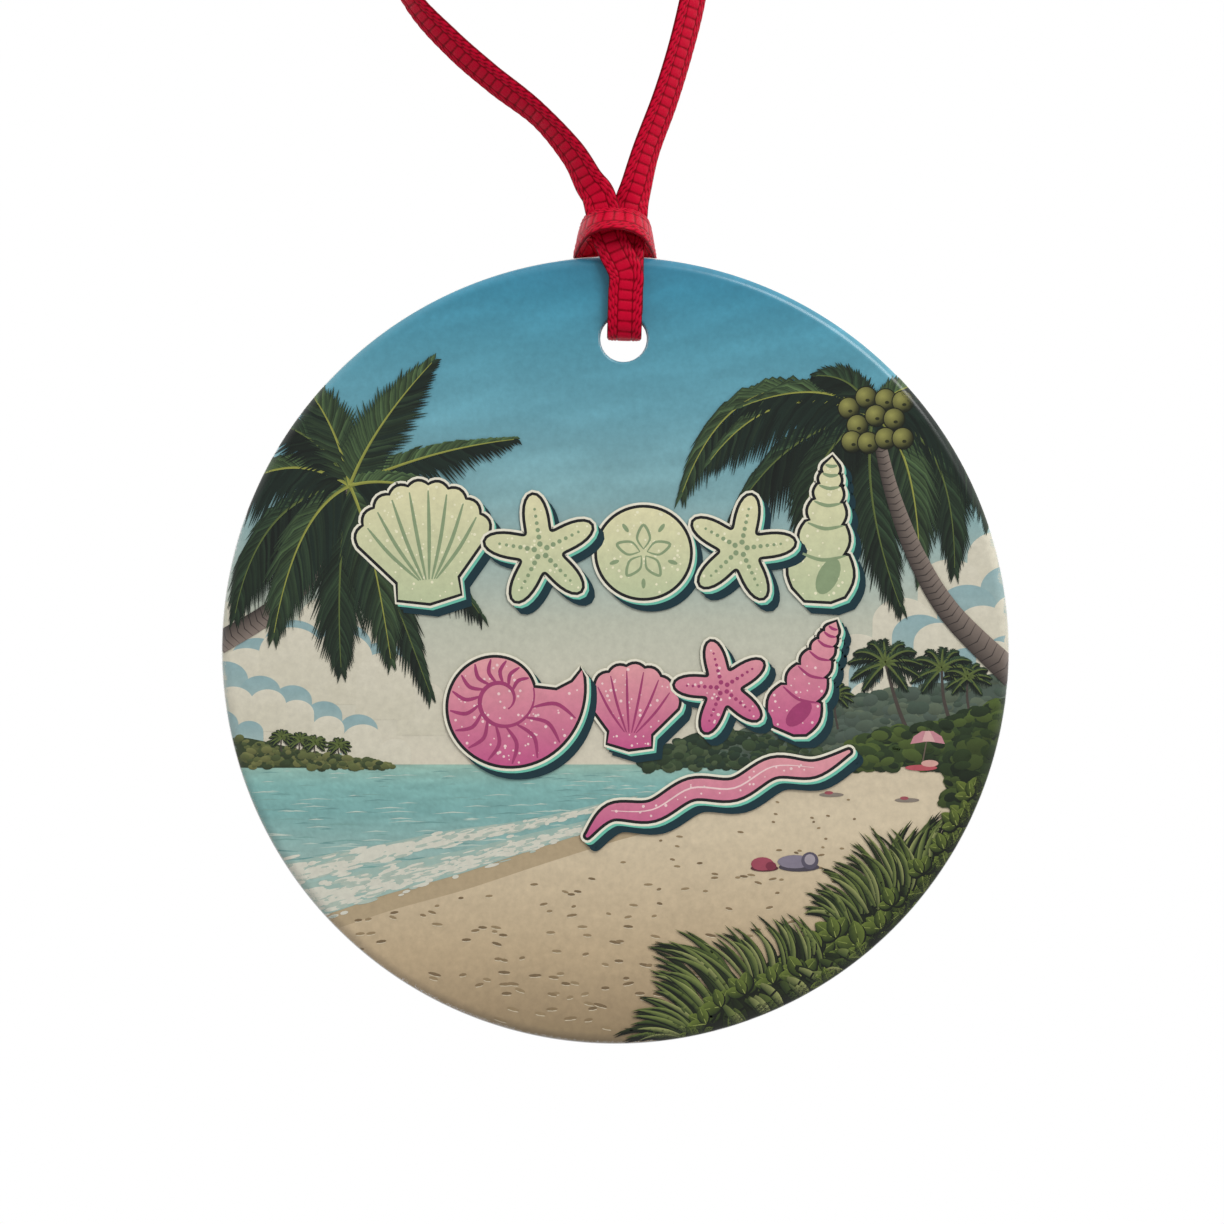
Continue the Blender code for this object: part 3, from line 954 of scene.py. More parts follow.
def sea(ink):
    """The sea with two lines of surf, and the wet sand along its shore."""
    rng = random.Random(4)
    shore = curve(SHORE)
    wet = [(x + 1.2, z - 0.9 - 0.05 * max(-x, 0)) for x, z in shore]
    ink.line(
        [((a + c) / 2, (b + d) / 2) for (a, b), (c, d) in zip(shore, wet)],
        [1.6 + 0.035 * max(-x, 0) for x, _ in shore],
        [linear("#B7A382")] * len(shore),
        BASE_LIFT + 4,
    )

    def swell(x, z):
        return 0.16 * grain(x, z, 3.2, 0.34, 1) + 0.05 * grain(x, z, 0.8, 0.2, 2)

    water = [(-37.2, HORIZON), (9.5, HORIZON), (15.2, -10.95), *shore, (-37.2, -25.6)]
    ink.area(water[::-1], fade(SEA, swell), BASE_LIFT + 8, 0.45)
    for count in range(260):
        x = rng.uniform(-36, 12)
        z = rng.uniform(-21, -11)
        if z < np.interp(x, SHORE_X, SHORE_Z) + 0.9:
            continue
        near = (HORIZON - z) / 10
        bright = linear(rng.choice(["#B5CBC0", "#C4D3C6", "#6F9B98", "#7FA9A2"]))
        size = rng.uniform(0.6, 2.2) * (0.5 + near)
        ink.line(
            [(x - size, z - 0.04 * size), (x, z + 0.05 * size), (x + size, z)],
            [0, 0.07 + 0.1 * near, 0],
            [bright] * 3,
            BASE_LIFT + 10 + spread(count, 3),
        )
    foam_line(ink, curve(SURF, 9), 0.7, 1.1, rng, BASE_LIFT + 14)
    foam_line(ink, [(x, z + 0.5) for x, z in curve(SHORE, 9)], 1.1, 2.0, rng, BASE_LIFT + 24)


def foam_line(ink, line, thin, thick, rng, lift):
    """Broken white water along a line that comes nearer, and so thicker, to the left."""
    pale, grey, milky = linear("#DAD8C8"), linear("#B4C2B4"), linear("#A2BCB1")
    nearness = [min(max((10 - x) / 40, 0.08), 1) for x, _ in line]
    widths = [thick * 1.7 * near for near in nearness]
    ink.line([(x, z + 0.1) for x, z in line], widths, [milky] * len(line), lift)
    for number, ((x, z), near) in enumerate(zip(line, nearness)):
        size = thin + (thick - thin) * near
        for count in range(14):
            px = x + rng.uniform(-0.9, 0.9)
            pz = z + (px - x) * 0.26 + rng.gauss(-0.1, 0.42) * size * near
            wide = rng.uniform(0.25, 0.9) * (0.35 + near)
            tall = rng.uniform(0.05, 0.17) * (0.45 + near)
            paint = pale if rng.random() < 0.7 else grey
            ink.oval(px, pz, wide, tall, paint, lift + 1.5 + spread(number * 14 + count, 6), 10, 0.25)


CREAM_CLOUD = ("#DDD7C3", "#D3CDB7")
SLATE_CLOUD = ("#93B1B3", "#A9BCB4")


def cloud_row(ink, colours, puffs, lift):
    """Round-topped clouds side by side: one colour along their tops, easing to another lower down."""
    top, foot = (linear(colour) for colour in colours)
    for number, (x, z, size) in enumerate(puffs):

        def paint(px, pz, z=z, size=size):
            share = (z + size * 0.7 - pz) / (size * 2.6)
            return blend_of(top, foot, share) + 0.02 * grain(px, pz, 1.4, 1.2)[:, None]

        body = [(x + size * math.cos(t), z + size * 0.8 * math.sin(t)) for t in np.linspace(math.pi, 0, 26)]
        floor_z = max(z - size * 1.5, HORIZON)
        body += [(x + size * 1.02, floor_z), (x - size * 1.02, floor_z)]
        ink.area(body[::-1], paint, lift + spread(number, 3), 0.9)


def clouds(ink):
    """Two banks of clouds over the horizon: cream rows and grey-blue rows in turn, the nearest lowest."""
    # Each cloud is its middle and its size.
    left = (
        (CREAM_CLOUD, (-36.4, 2.6, 2.4), (-32.6, 1.2, 2.6), (-26.4, 2.6, 3.0), (-22.2, 1.2, 2.4),
         (-19.6, -0.6, 2)),
        (SLATE_CLOUD, (-33.2, -0.8, 2.4), (-29.8, 0.6, 2.7), (-25.2, 0.4, 2.6), (-21.6, -1.2, 2.4)),
        (CREAM_CLOUD, (-34.2, -1.9, 2.6), (-30, -0.3, 3), (-25.4, -0.7, 2.9), (-21.3, -2.4, 2.7),
         (-18, -4.6, 2.2)),
        (SLATE_CLOUD, (-36.2, -2.8, 2.2), (-32.9, -3.9, 1.9), (-29.9, -4.7, 1.8), (-27, -6.1, 1.7),
         (-23.8, -7.4, 1.8)),
        (CREAM_CLOUD, (-35.4, -4.9, 1.9), (-32.2, -5.0, 1.7), (-29.5, -5.9, 1.6), (-26.6, -7.3, 1.5)),
        (CREAM_CLOUD, (-23.4, -8.4, 1.9), (-20.4, -9.4, 1.5)),
        (SLATE_CLOUD, (-36.6, -6.9, 1.7), (-33.9, -7.6, 1.3)),
    )
    right = (
        (CREAM_CLOUD, (14.6, -6, 2), (18.2, -3.2, 2.4), (22.4, -0.6, 2.6), (26.6, 2.6, 2.8), (31, 6, 3),
         (35.6, 8.6, 3)),
        (SLATE_CLOUD, (16.4, -7, 2), (20, -5, 2.4), (24.2, -2.2, 2.6), (28.2, 1.2, 2.6), (32.6, 3.8, 2.8),
         (36.6, 5.6, 2.8)),
        (CREAM_CLOUD, (23.6, -4.4, 1.9), (26.6, -2.3, 2.1), (30, 0.6, 2.4), (34, 2.2, 2.4), (37.2, 3.4, 2.2)),
        (SLATE_CLOUD, (29.4, -3.4, 2.0), (32.6, -1.4, 2.0), (36.4, -0.4, 2.2)),
        (CREAM_CLOUD, (35.2, -0.6, 1.8), (37.6, 0.8, 1.6)),
    )
    for number, (colours, *puffs) in enumerate(left + right):
        cloud_row(ink, colours, puffs, BASE_LIFT + 5 + number % 7 * 4)


def leaf_mass(ink, top, bottom, count, colours, size, seed, lift):
    """A hedge or far wood: a dark body under its top line, covered in small rounded clumps of leaves."""
    rng = random.Random(seed)
    top_x = [x for x, _ in top]
    top_z = [z for _, z in top]
    body = shade(linear(colours[0]), 0.8)
    ink.area([*curve(top, 4), (top[-1][0], bottom), (top[0][0], bottom)][::-1], body, lift)
    spots = [(rng.uniform(top_x[0], top_x[-1]), rng.random()) for _ in range(count)]
    for number, (x, share) in enumerate(sorted(spots, key=lambda spot: -spot[1])):
        high = np.interp(x, top_x, top_z)
        z = bottom + (high - bottom) * share
        across = size * rng.uniform(0.5, 1.3)
        colour = linear(rng.choice(colours))
        tall = across * rng.uniform(0.5, 0.8)
        dark = shade(colour, 0.55)

        def paint(px, pz, z=z, tall=tall, colour=colour, dark=dark):
            return blend_of(dark, colour, (pz - z + tall) / (2 * tall))

        ink.oval(x, z, across, tall, paint, lift + 2 + spread(number, 13), 11, rng.uniform(-0.5, 0.5))


def frond(ink, base, bend, tip, reach, count, droop, colours, lift, rng, wide=0.38):
    """A feather leaf from base past bend to tip, whose leaflets are reach long and hang by droop."""
    base, bend, tip = (np.array(place, float) for place in (base, bend, tip))
    dark, light, rib = (linear(colour) for colour in colours)
    spine = []
    for step in range(count + 1):
        share = step / count
        place = base * (1 - share) ** 2 + bend * 2 * share * (1 - share) + tip * share**2
        along = 2 * (1 - share) * (bend - base) + 2 * share * (tip - bend)
        along = unit(along)
        spine.append(tuple(place))
        if step < 2:
            continue
        for side in (-1, 1):
            aside = left_of(along) * side
            swell = 0.42 + 0.75 * math.sin(math.pi * min(share * 0.86 + 0.1, 1))
            size = reach * swell * rng.uniform(0.85, 1.12) * (1 - 0.45 * share**3)
            way = unit(along * (0.62 + 0.6 * share) + aside * (0.95 - 0.45 * share))
            fall = np.array([0, -droop * size])
            middle = place + way * size * 0.52 + fall * 0.24
            end = place + way * size * 0.92 + fall
            facing_up = aside[1] + 0.35 * rng.uniform(-1, 1)
            bright = mixed(dark, light, 0.38 + 0.5 * facing_up)
            tone = rng.uniform(0.6, 1.45)
            left = shade(bright, tone)
            right = shade(mixed(dark, bright, 0.15), tone)
            ink.line(
                [place, (place + middle) / 2 + aside * 0.02, middle, end],
                [wide * 0.5, wide, wide * 0.85, 0.02],
                [(left, right)] * 3 + [(shade(left, 1.15), shade(right, 1.1))],
                lift + spread(step * 2 + (side > 0), 6),
            )
    ink.line(spine, np.linspace(0.3, 0.06, len(spine)), [(rib, shade(rib, 0.6))] * len(spine), lift + 6.5)


FROND = ("#14231B", "#577045", "#A3A74E")
DARK_FROND = ("#101B14", "#3C5538", "#66753C")


def trunk(ink, points, widths, lift, rings=34):
    """A ringed palm trunk, lit on its left."""
    spine = curve(points, 10)
    across = np.interp(np.linspace(0, 1, len(spine)), np.linspace(0, 1, len(widths)), widths)
    light, dark = linear("#8A7C72"), linear("#3F3733")
    ink.line(spine, across, [(light, dark)] * len(spine), lift)
    spine = np.array(spine)
    for ring in range(rings):
        share = (ring + 0.5) / rings * (len(spine) - 1)
        at = int(share)
        place = spine[at] + (spine[min(at + 1, len(spine) - 1)] - spine[at]) * (share - at)
        along = unit(spine[min(at + 1, len(spine) - 1)] - spine[max(at - 1, 0)])
        aside = left_of(along) * across[at] / 2 * 0.98
        sag = along * across[at] * 0.16
        ink.line(
            [place + aside, place + sag, place - aside],
            [0.05, 0.11, 0.05],
            [linear("#5E524C"), linear("#3A322F"), linear("#2A2422")],
            lift + 2,
        )


def crown_of_fronds(ink, crown, fronds, rng):
    """Fronds from one crown, each in front of the last: bend, tip, leaflet length, droop and colours."""
    for number, (bend, tip, reach, droop, colours) in enumerate(fronds):
        frond(ink, crown, bend, tip, reach, 42, droop, colours, PALM_LIFT + 5 + number * 5, rng)


def left_palm(ink):
    path = [(-24.9, 15.0), (-26.0, 10.4), (-28.8, 6.3), (-32.4, 3.2), (-36.8, 0.6)]
    trunk(ink, path, [1.5, 1.6, 1.8, 2.1], PALM_LIFT)
    fronds = (
        ((-22.0, 9.0), (-17.2, -3.9), 3.6, 0.55, DARK_FROND),
        ((-26.0, 7.5), (-25.4, -1.6), 3.8, 0.5, DARK_FROND),
        ((-19.5, 13.0), (-12.6, 3.4), 3.6, 0.65, DARK_FROND),
        ((-33.0, 14.6), (-35.2, 3.4), 3.6, 0.7, DARK_FROND),
        ((-29.6, 13.0), (-31.6, 1.6), 3.8, 0.6, FROND),
        ((-22.6, 11.2), (-20.8, -0.8), 3.8, 0.5, FROND),
        ((-31.0, 19.4), (-37.0, 13.2), 3.8, 0.5, FROND),
        ((-27.6, 20.8), (-33.4, 21.4), 3.4, 0.3, DARK_FROND),
        ((-25.6, 20.6), (-28.8, 24.6), 3.6, 0.1, FROND),
        ((-17.4, 18.6), (-9.4, 19.5), 2.9, 0.35, FROND),
        ((-22.6, 20.6), (-17.0, 26.6), 4.0, 0.1, FROND),
        ((-20.0, 16.6), (-12.6, 12.6), 3.4, 0.5, FROND),
    )
    crown_of_fronds(ink, (-24.6, 15.2), fronds, random.Random(21))


def right_palm(ink):
    path = [(24.3, 20.0), (25.6, 14.6), (27.9, 8.6), (31.2, 3.2), (36.9, -2.4)]
    trunk(ink, path, [1.0, 1.35, 1.75, 2.1, 2.5], PALM_LIFT + 32, 40)
    fronds = (
        ((22.6, 14.0), (26.4, 4.0), 3.6, 0.5, DARK_FROND),
        ((31.4, 21.0), (31.4, 7.6), 3.8, 0.6, DARK_FROND),
        ((16.0, 21.0), (11.0, 12.6), 3.8, 0.7, DARK_FROND),
        ((18.6, 19.6), (17.2, 11.2), 3.8, 0.6, DARK_FROND),
        ((28.0, 19.6), (28.2, 6.8), 3.6, 0.6, FROND),
        ((33.6, 24.0), (34.6, 12.2), 4.0, 0.6, FROND),
        ((11.4, 29.0), (6.2, 14.6), 4.0, 0.62, FROND),
        ((15.0, 25.8), (8.8, 17.6), 3.8, 0.6, FROND),
        ((19.6, 25.6), (11.8, 22.6), 3.4, 0.4, FROND),
        ((22.4, 25.6), (18.6, 25.4), 2.6, 0.2, DARK_FROND),
        ((28.2, 25.4), (32.0, 21.4), 3.2, 0.4, FROND),
        ((25.6, 24.4), (28.4, 24.6), 2.4, 0.2, FROND),
    )
    crown_of_fronds(ink, (23.8, 21.6), fronds, random.Random(33))
    nuts = ((21.6, 22.4), (23.2, 23.4), (25.0, 23.2), (26.6, 23.0), (22.4, 20.8), (24.1, 21.7), (25.8, 21.4))
    nuts += ((21.9, 19.3), (23.4, 19.2), (25.0, 19.6), (26.6, 19.6))
    for number, (x, z) in enumerate(nuts):
        nut(ink, x, z, 0.95, PALM_LIFT + 66 + number * 1.5)


def nut(ink, x, z, size, lift):
    """A green coconut, lit from the upper left, with the dark scar at its end."""
    light, dark = linear("#9C9A55"), linear("#1E2210")

    def paint(px, pz):
        far = np.hypot(px - x + size * 0.3, pz - z - size * 0.35) / (size * 1.3)
        return blend_of(light, dark, far**1.1)

    ink.oval(x, z, size * 1.1, size * 1.1, linear("#161A0C"), lift, 22)
    ink.area(oval_outline(x, z, size, size, 22), paint, lift + 0.7, 0.4)
    ink.oval(x + 0.15 * size, z - 0.3 * size, size * 0.22, size * 0.16, linear("#2A2D14"), lift + 1.1, 10)


def small_palm(ink, crown, foot, reach, seed, lift, colours=DARK_FROND):
    rng = random.Random(seed)
    bow = ((crown[0] + foot[0]) / 2 - 0.1 * reach, (crown[1] + foot[1]) / 2)
    wood = linear("#4A423C")
    ink.line(curve([crown, bow, foot], 5), np.linspace(0.07, 0.13, 11) * reach, [wood] * 11, lift)
    for number in range(11):
        angle = math.radians(-48 + 276 * number / 10 + rng.uniform(-7, 7))
        tip = (crown[0] + reach * math.cos(angle), crown[1] + reach * (0.72 * math.sin(angle) - 0.14))
        bend = (crown[0] + 0.55 * reach * math.cos(angle), crown[1] + reach * (0.5 * math.sin(angle) + 0.12))
        level = lift + 2 + number % 4 * 3
        frond(ink, crown, bend, tip, reach * 0.30, 14, 0.35, colours, level, rng, reach * 0.055)


def far_shore(ink):
    """The island on the left, and the wooded headland on the right with its palms."""
    low = FAR_LIFT
    island = [(-37.2, -8.4), (-34.6, -8.1), (-31.5, -8.7), (-28.4, -9.4), (-25.2, -9.9), (-22.8, -10.2)]
    island += [(-20.6, -10.7)]
    leaf_mass(ink, island, -10.9, 260, ["#3E4C2E", "#55613A", "#6B7343", "#7C7F4C"], 0.42, 3, low)
    for number, x in enumerate((-30.9, -29.2, -27.8, -25.6)):
        small_palm(ink, (x, -8.1 - 0.25 * number), (x + 0.1, -9.9), 1.15, number, low + 10)
    hill = [(9.2, -9.8), (12, -8), (14.9, -6.4), (18.9, -4.8), (23, -4.2), (28, -3.6), (33.6, -2.4)]
    hill += [(37.2, -2)]
    leaf_mass(ink, hill, -10.6, 620, ["#57665A", "#5C6B5B", "#66735F", "#4D5E50"], 0.75, 5, low)
    far = [(2.5, -10.4), (4.6, -9.2), (7.0, -7.8), (9.6, -7.4), (12.5, -7.6), (16, -8.4), (20, -9.6)]
    leaf_mass(ink, far, -10.9, 300, ["#2F4231", "#425538", "#526243", "#35472F"], 0.55, 6, low + 10)
    for number, (x, z, foot_x, reach) in enumerate(
        ((16.7, -4.6, 16.9, 1.7), (20.4, -4.1, 20.6, 1.7), (30.2, -1.7, 31.2, 3.0), (32.6, -2.5, 33.0, 2.2))
    ):
        small_palm(ink, (x, z), (foot_x, z - 1.9 * reach), reach, 40 + number, low + 20)
    small_palm(ink, (25.0, -1.2), (28.2, -10.0), 3.4, 57, low + 24)
    bushes = [(19.4, -10.4), (21.6, -9.1), (24, -7.8), (27.4, -7.2), (30.6, -6.6), (33.5, -5.6), (37.2, -4.4)]
    leaf_mass(ink, bushes, -10.8, 520, ["#26361F", "#3C4F28", "#54662F", "#2C3D22"], 0.8, 7, low + 34)
    near = [(30.8, -11.0), (32.6, -9.0), (34.4, -7.6), (37.4, -6.4)]
    leaf_mass(ink, near, -14.5, 260, ["#1D2B17", "#2F4020", "#465628"], 0.9, 8, low + 42)


def on_the_beach(ink):
    """The parasol and towels, what lies on the sand, and the footprints."""
    low = BEACH_LIFT
    wood = linear("#6A5B50")
    ink.line([(29.0, -7.4), (28.4, -10.6)], [0.12, 0.12], [wood] * 2, low + 40)
    crown = [(27.3, -8.7), (27.6, -8.0), (28.4, -7.5), (29.4, -7.5), (30.2, -8.0), (30.5, -8.7), (29, -8.45)]
    ink.area(crown[::-1], linear("#C98A93"), low + 42)
    ink.area([(28.4, -8.45), (28.7, -7.5), (29.1, -7.5), (29.6, -8.5)], linear("#DDB0AC"), low + 44)
    ink.oval(28.3, -10.9, 1.5, 0.28, linear("#B9555E"), low + 40)
    ink.oval(29.1, -10.5, 0.8, 0.32, linear("#D7A59B"), low + 42)
    for x, z in ((20.0, -13.4), (27.0, -13.9)):
        ink.oval(x, z, 1.15, 0.2, linear("#8A7F74"), low)
        ink.oval(x - 0.25, z + 0.18, 0.4, 0.16, linear("#A2535B"), low + 2)
    ink.oval(13.8, -20.2, 1.3, 0.32, linear("#5E2E36"), low)
    ink.oval(13.6, -19.8, 1.05, 0.62, linear("#A24B5C"), low + 2)
    ink.oval(14.4, -20.0, 0.5, 0.4, linear("#7F3346"), low + 4)
    ink.oval(17.0, -20.1, 1.9, 0.42, linear("#4C4650"), low)
    ink.oval(16.6, -19.6, 1.6, 0.62, linear("#877F8E"), low + 2)
    ink.oval(18.0, -19.5, 0.8, 0.8, linear("#5B5564"), low + 4)
    ink.oval(18.0, -19.4, 0.5, 0.5, linear("#A59CA4"), low + 6)
    rng = random.Random(15)
    pale = linear("#D8CAAE")
    made = 0
    while made < 210:
        x = rng.uniform(-29, 24)
        z = rng.uniform(-36, -13.5)
        if z > np.interp(x, SHORE_X, SHORE_Z) - 2.4 or x > 8 + (z + 36) * 1.3:
            continue
        near = min((-12 - z) / 20, 1)
        size = rng.uniform(0.22, 0.5) * (0.4 + near)
        dark = linear(rng.choice(["#8C7758", "#9A8564", "#7C684C"]))
        turn = rng.uniform(-0.35, 0.25)
        ink.oval(x, z, size, 0.09 + 0.07 * near, dark, BASE_LIFT + 12 + spread(made, 2), 8, turn)
        low_z = z - 0.11 - 0.05 * near
        ink.oval(x, low_z, size * 0.9, 0.06, pale, BASE_LIFT + 10 + spread(made, 1.5), 8, turn)
        made += 1


def between(line, share):
    """The place a share of the way along a line of evenly spaced points."""
    at = share * (len(line) - 1)
    step = min(int(at), len(line) - 2)
    first, second = np.array(line[step]), np.array(line[step + 1])
    return first + (second - first) * (at - step)


def spray(ink, roots, tips, count, wide, bow, lift, rng):
    """Long narrow leaves from places along one line to places along another, each arched by bow."""
    roots, tips = curve(roots, 6), curve(tips, 6)
    for number in range(count):
        share = min(max((number + rng.uniform(-0.8, 1.8)) / count, 0), 1)
        root = between(roots, share) + np.array([rng.uniform(-0.7, 0.7), rng.uniform(-0.7, 0.7)])
        tip = between(tips, share) + np.array([rng.uniform(-0.5, 0.5), rng.uniform(-0.5, 0.5)])
        layer = number * 7 % 3
        tip = root + (tip - root) * rng.uniform(0.88, 1.12) * (1 - 0.10 * (layer == 2))
        way = tip - root
        over = left_of(way) * (1 if way[0] > 0 else -1)
        middle = root + way * 0.55 + over * bow * rng.uniform(0.5, 1.4)
        spine = [root * (1 - t) ** 2 + middle * 2 * t * (1 - t) + tip * t * t for t in np.linspace(0, 1, 10)]
        widths = wide * np.array([0.5, 0.8, 0.95, 1, 1, 0.92, 0.8, 0.6, 0.35, 0.03]) * rng.uniform(0.75, 1.2)
        tones = ("#2C3A18", rng.choice(["#586A31", "#71823E"]), rng.choice(["#8F9C55", "#B0B672"]))
        light = linear(tones[layer])
        dark = linear(("#10170A", "#1A2611", "#263517")[layer])
        upper = [shade(light, 0.45 + 0.9 * t * (1.25 - t)) for t in np.linspace(0, 1, 10)]
        pairs = [(shade(dark, 1.3), tone) if way[0] < 0 else (tone, shade(dark, 1.3)) for tone in upper]
        level = lift + layer * 1.8 + spread(number, 1.2)
        ink.line([(x + 0.12, z - 0.16) for x, z in spine], widths * 1.15, [linear("#0F150A")] * 10, level)
        ink.line(spine, widths, pairs, level + 0.4)


def clusters(ink, places, size, first, last, lift, rng):
    """Clusters of five broad leaves that spread between two directions, in degrees."""
    for x, z in places:
        for petal in range(5):
            turn = first + (last - first) * (petal * 3 % 5 + 0.5) / 5 + rng.uniform(-10, 10)
            broad_leaf(ink, x, z, math.radians(turn), size * rng.uniform(0.8, 1.15), lift + petal * 0.9)


GROUND = [(2.6, -37.3), (6.6, -34.0), (9.5, -31.6), (14.0, -29.0), (18.5, -26.0), (22.5, -23.2), (26, -20.6)]
GROUND += [(29.2, -18.0), (32.6, -13.8)]
HIGH_TIPS = [(17.4, -24.6), (18.2, -22.4), (19.4, -21.0), (20.8, -19.5), (23.2, -17.0), (26.2, -17.6)]
LOW_TIPS = [(0.4, -36.2), (2.3, -32.6), (3.7, -29.6), (4.3, -27.3), (10.4, -26.1), (14.8, -24.6), (17, -25.4)]
FALLING_TIPS = [(10.8, -36.6), (17.4, -33.6), (23.2, -29.4)]
CORNER_PLACES = [(32.9, -13.6), (32.4, -15.6), (33.6, -16.4), (31.4, -17.8), (30.6, -20), (33.2, -19.4)]
SLOPE_PLACES = [(28.6, -22.4), (26.4, -24.6), (24, -26.4), (27.6, -25.6), (21.6, -27.6), (29.6, -23.4)]
MIDDLE_PLACES = [(18.6, -28.2), (20.4, -26.6), (22.6, -27.4), (16.6, -29.2), (19.4, -29.8), (24.6, -25.8)]
FOOT_PLACES = [(8.4, -34.6), (9.8, -33), (12, -31.8), (14.6, -30.8), (17.2, -30.2), (7.6, -36.4)]
FRONT_PLACES = [(25.6, -23.6), (28.4, -20.6), (30.4, -18.4), (31.6, -16.2), (23, -28.4), (19.8, -31)]
PLANTS = (
    # From the back to the front: lift, then what clusters or spray takes.
    (0, clusters, CORNER_PLACES, 1.7, 10, 200),
    (6, clusters, SLOPE_PLACES, 2.0, 0, 210),
    (12, spray, [(25.4, -22.6), (29.0, -19.4)], [(24.9, -17.6), (28.8, -16.0), (31.0, -15.6)], 26, 0.4, 0.2),
    (19, spray, [(20.6, -25.6), (23.4, -24.4), (27.2, -21.6)], HIGH_TIPS, 60, 0.42, 0.24),
    (26, clusters, MIDDLE_PLACES, 2.1, 20, 190),
    (33, spray, [(7.4, -36.6), (8.6, -33.8), (13.6, -30.8), (18.6, -28.6)], LOW_TIPS, 84, 0.44, 0.24),
    (40, clusters, FOOT_PLACES, 1.9, 30, 200),
    (47, spray, [(10.0, -33.4), (15.0, -31.0), (20.6, -28.4)], FALLING_TIPS, 34, 0.8, 0.22),
    (54, clusters, FRONT_PLACES, 1.6, 20, 200),
)


def foreground(ink):
    """Sprays of long leaves and clusters of broad ones at the lower right, in front of everything."""
    rng = random.Random(71)
    body = [*curve(GROUND, 4), (40, -12), (40, -40), (2.6, -40)]
    ink.area(body[::-1], linear("#161E0D"), FRONT_LIFT - 4)
    for lift, paint, *sizes in PLANTS:
        paint(ink, *sizes, FRONT_LIFT + lift, rng)


def broad_leaf(ink, x, z, angle, size, lift):
    """An oval leaf from x and z towards angle, with its shadow and its rib."""
    way = np.array([math.cos(angle), math.sin(angle)])
    start = np.array([x, z])
    spine = [start + way * size * share for share in (0, 0.12, 0.3, 0.5, 0.72, 0.9, 1)]
    shape = np.array([0.08, 0.52, 0.86, 1.0, 0.86, 0.48, 0.05]) * size * 0.62
    light, dark = linear("#6F7F35"), linear("#2A3A16")
    pair = (light, dark) if way[0] > 0 else (dark, light)
    ink.line([(px + 0.08, pz - 0.12) for px, pz in spine], shape * 1.15, [linear("#10170A")] * 7, lift)
    tones = [tuple(shade(colour, 0.6 + 0.07 * step) for colour in pair) for step in range(7)]
    ink.line(spine, shape, tones, lift + 0.4)
    ink.line([start, start + way * size * 0.92], [0.09, 0.03], [linear("#939E52")] * 2, lift + 0.8)


# ---------------------------------------------------------------- the motif in the middle of the print


def grown(outline, amount):
    """An outline moved outwards by amount, along the mean of the normals of its two sides at each corner."""
    points = np.array(outline, float)
    following = np.roll(points, -1, axis=0)
    along = units(units(points - np.roll(points, 1, axis=0)) + units(following - points))
    area = (points[:, 0] * following[:, 1] - following[:, 0] * points[:, 1]).sum()
    return points - left_of(along) * amount * np.sign(area)


def inside(outline, x, z):
    """Whether a point is inside an outline."""
    hit = False
    for (ax, az), (bx, bz) in zip(outline, [*outline[1:], outline[0]]):
        if (az > z) != (bz > z) and x < (bx - ax) * (z - az) / (bz - az) + ax:
            hit = not hit
    return hit


CREAM = ("#E6E0B4", "#C3CDA4", "#F1EDCB", "#8DA07A")
PINK = ("#E9A3A8", "#C9598C", "#F6D3D2", "#A63F70")
INK_BLACK = "#16181A"


def badge(ink, outline, colours, lift, seed):
    """One shape of the motif: filled, speckled, outlined in black and white, with a teal shadow beside it."""
    rng = random.Random(seed)
    top, bottom, spot, _ = (linear(colour) for colour in colours)
    points = np.array(outline, float)
    low, high = points[:, 1].min(), points[:, 1].max()
    offset = np.array([0.50, -0.55])
    for wide, shift, colour, level in (
        (0.46, 1.5, "#12333C", 0),
        (0.46, 0.9, "#12333C", 2),
        (0.44, 0.45, "#6FC4AC", 4),
        (0.50, 0.0, "#EFEAD6", 6),
        (0.28, 0.0, INK_BLACK, 8),
    ):
        ring = np.array([*outline, outline[0]]) + offset * shift
        ink.area(ring[:-1].tolist(), linear(colour), lift + level)
        ink.line(ring, [2 * wide] * len(ring), [linear(colour)] * len(ring), lift + level + 0.8, closed=True)

    def paint(x, z):
        return blend_of(bottom, top, (z - low) / (high - low))

    ink.area(outline, paint, lift + 10, 0.9)
    wide = points[:, 0].max() - points[:, 0].min()
    for count in range(int(wide * (high - low) * 1.1)):
        x = rng.uniform(points[:, 0].min(), points[:, 0].max())
        z = rng.uniform(low, high)
        if inside(outline, x, z) and inside(grown(outline, -0.25).tolist(), x, z):
            size = rng.uniform(0.06, 0.15)
            ink.oval(x, z, size, size, spot, lift + 12 + spread(count, 2), 8)
    return lift + 16


def stroke(ink, points, wide, colour, lift):
    """A thin line of one colour, finer at both ends."""
    points = curve(points, 6)
    share = np.linspace(0, 1, len(points))
    widths = wide * np.sqrt(np.clip(np.sin(math.pi * np.clip(share, 0.04, 0.96)), 0, 1))
    ink.line(points, widths, [linear(colour)] * len(points), lift)


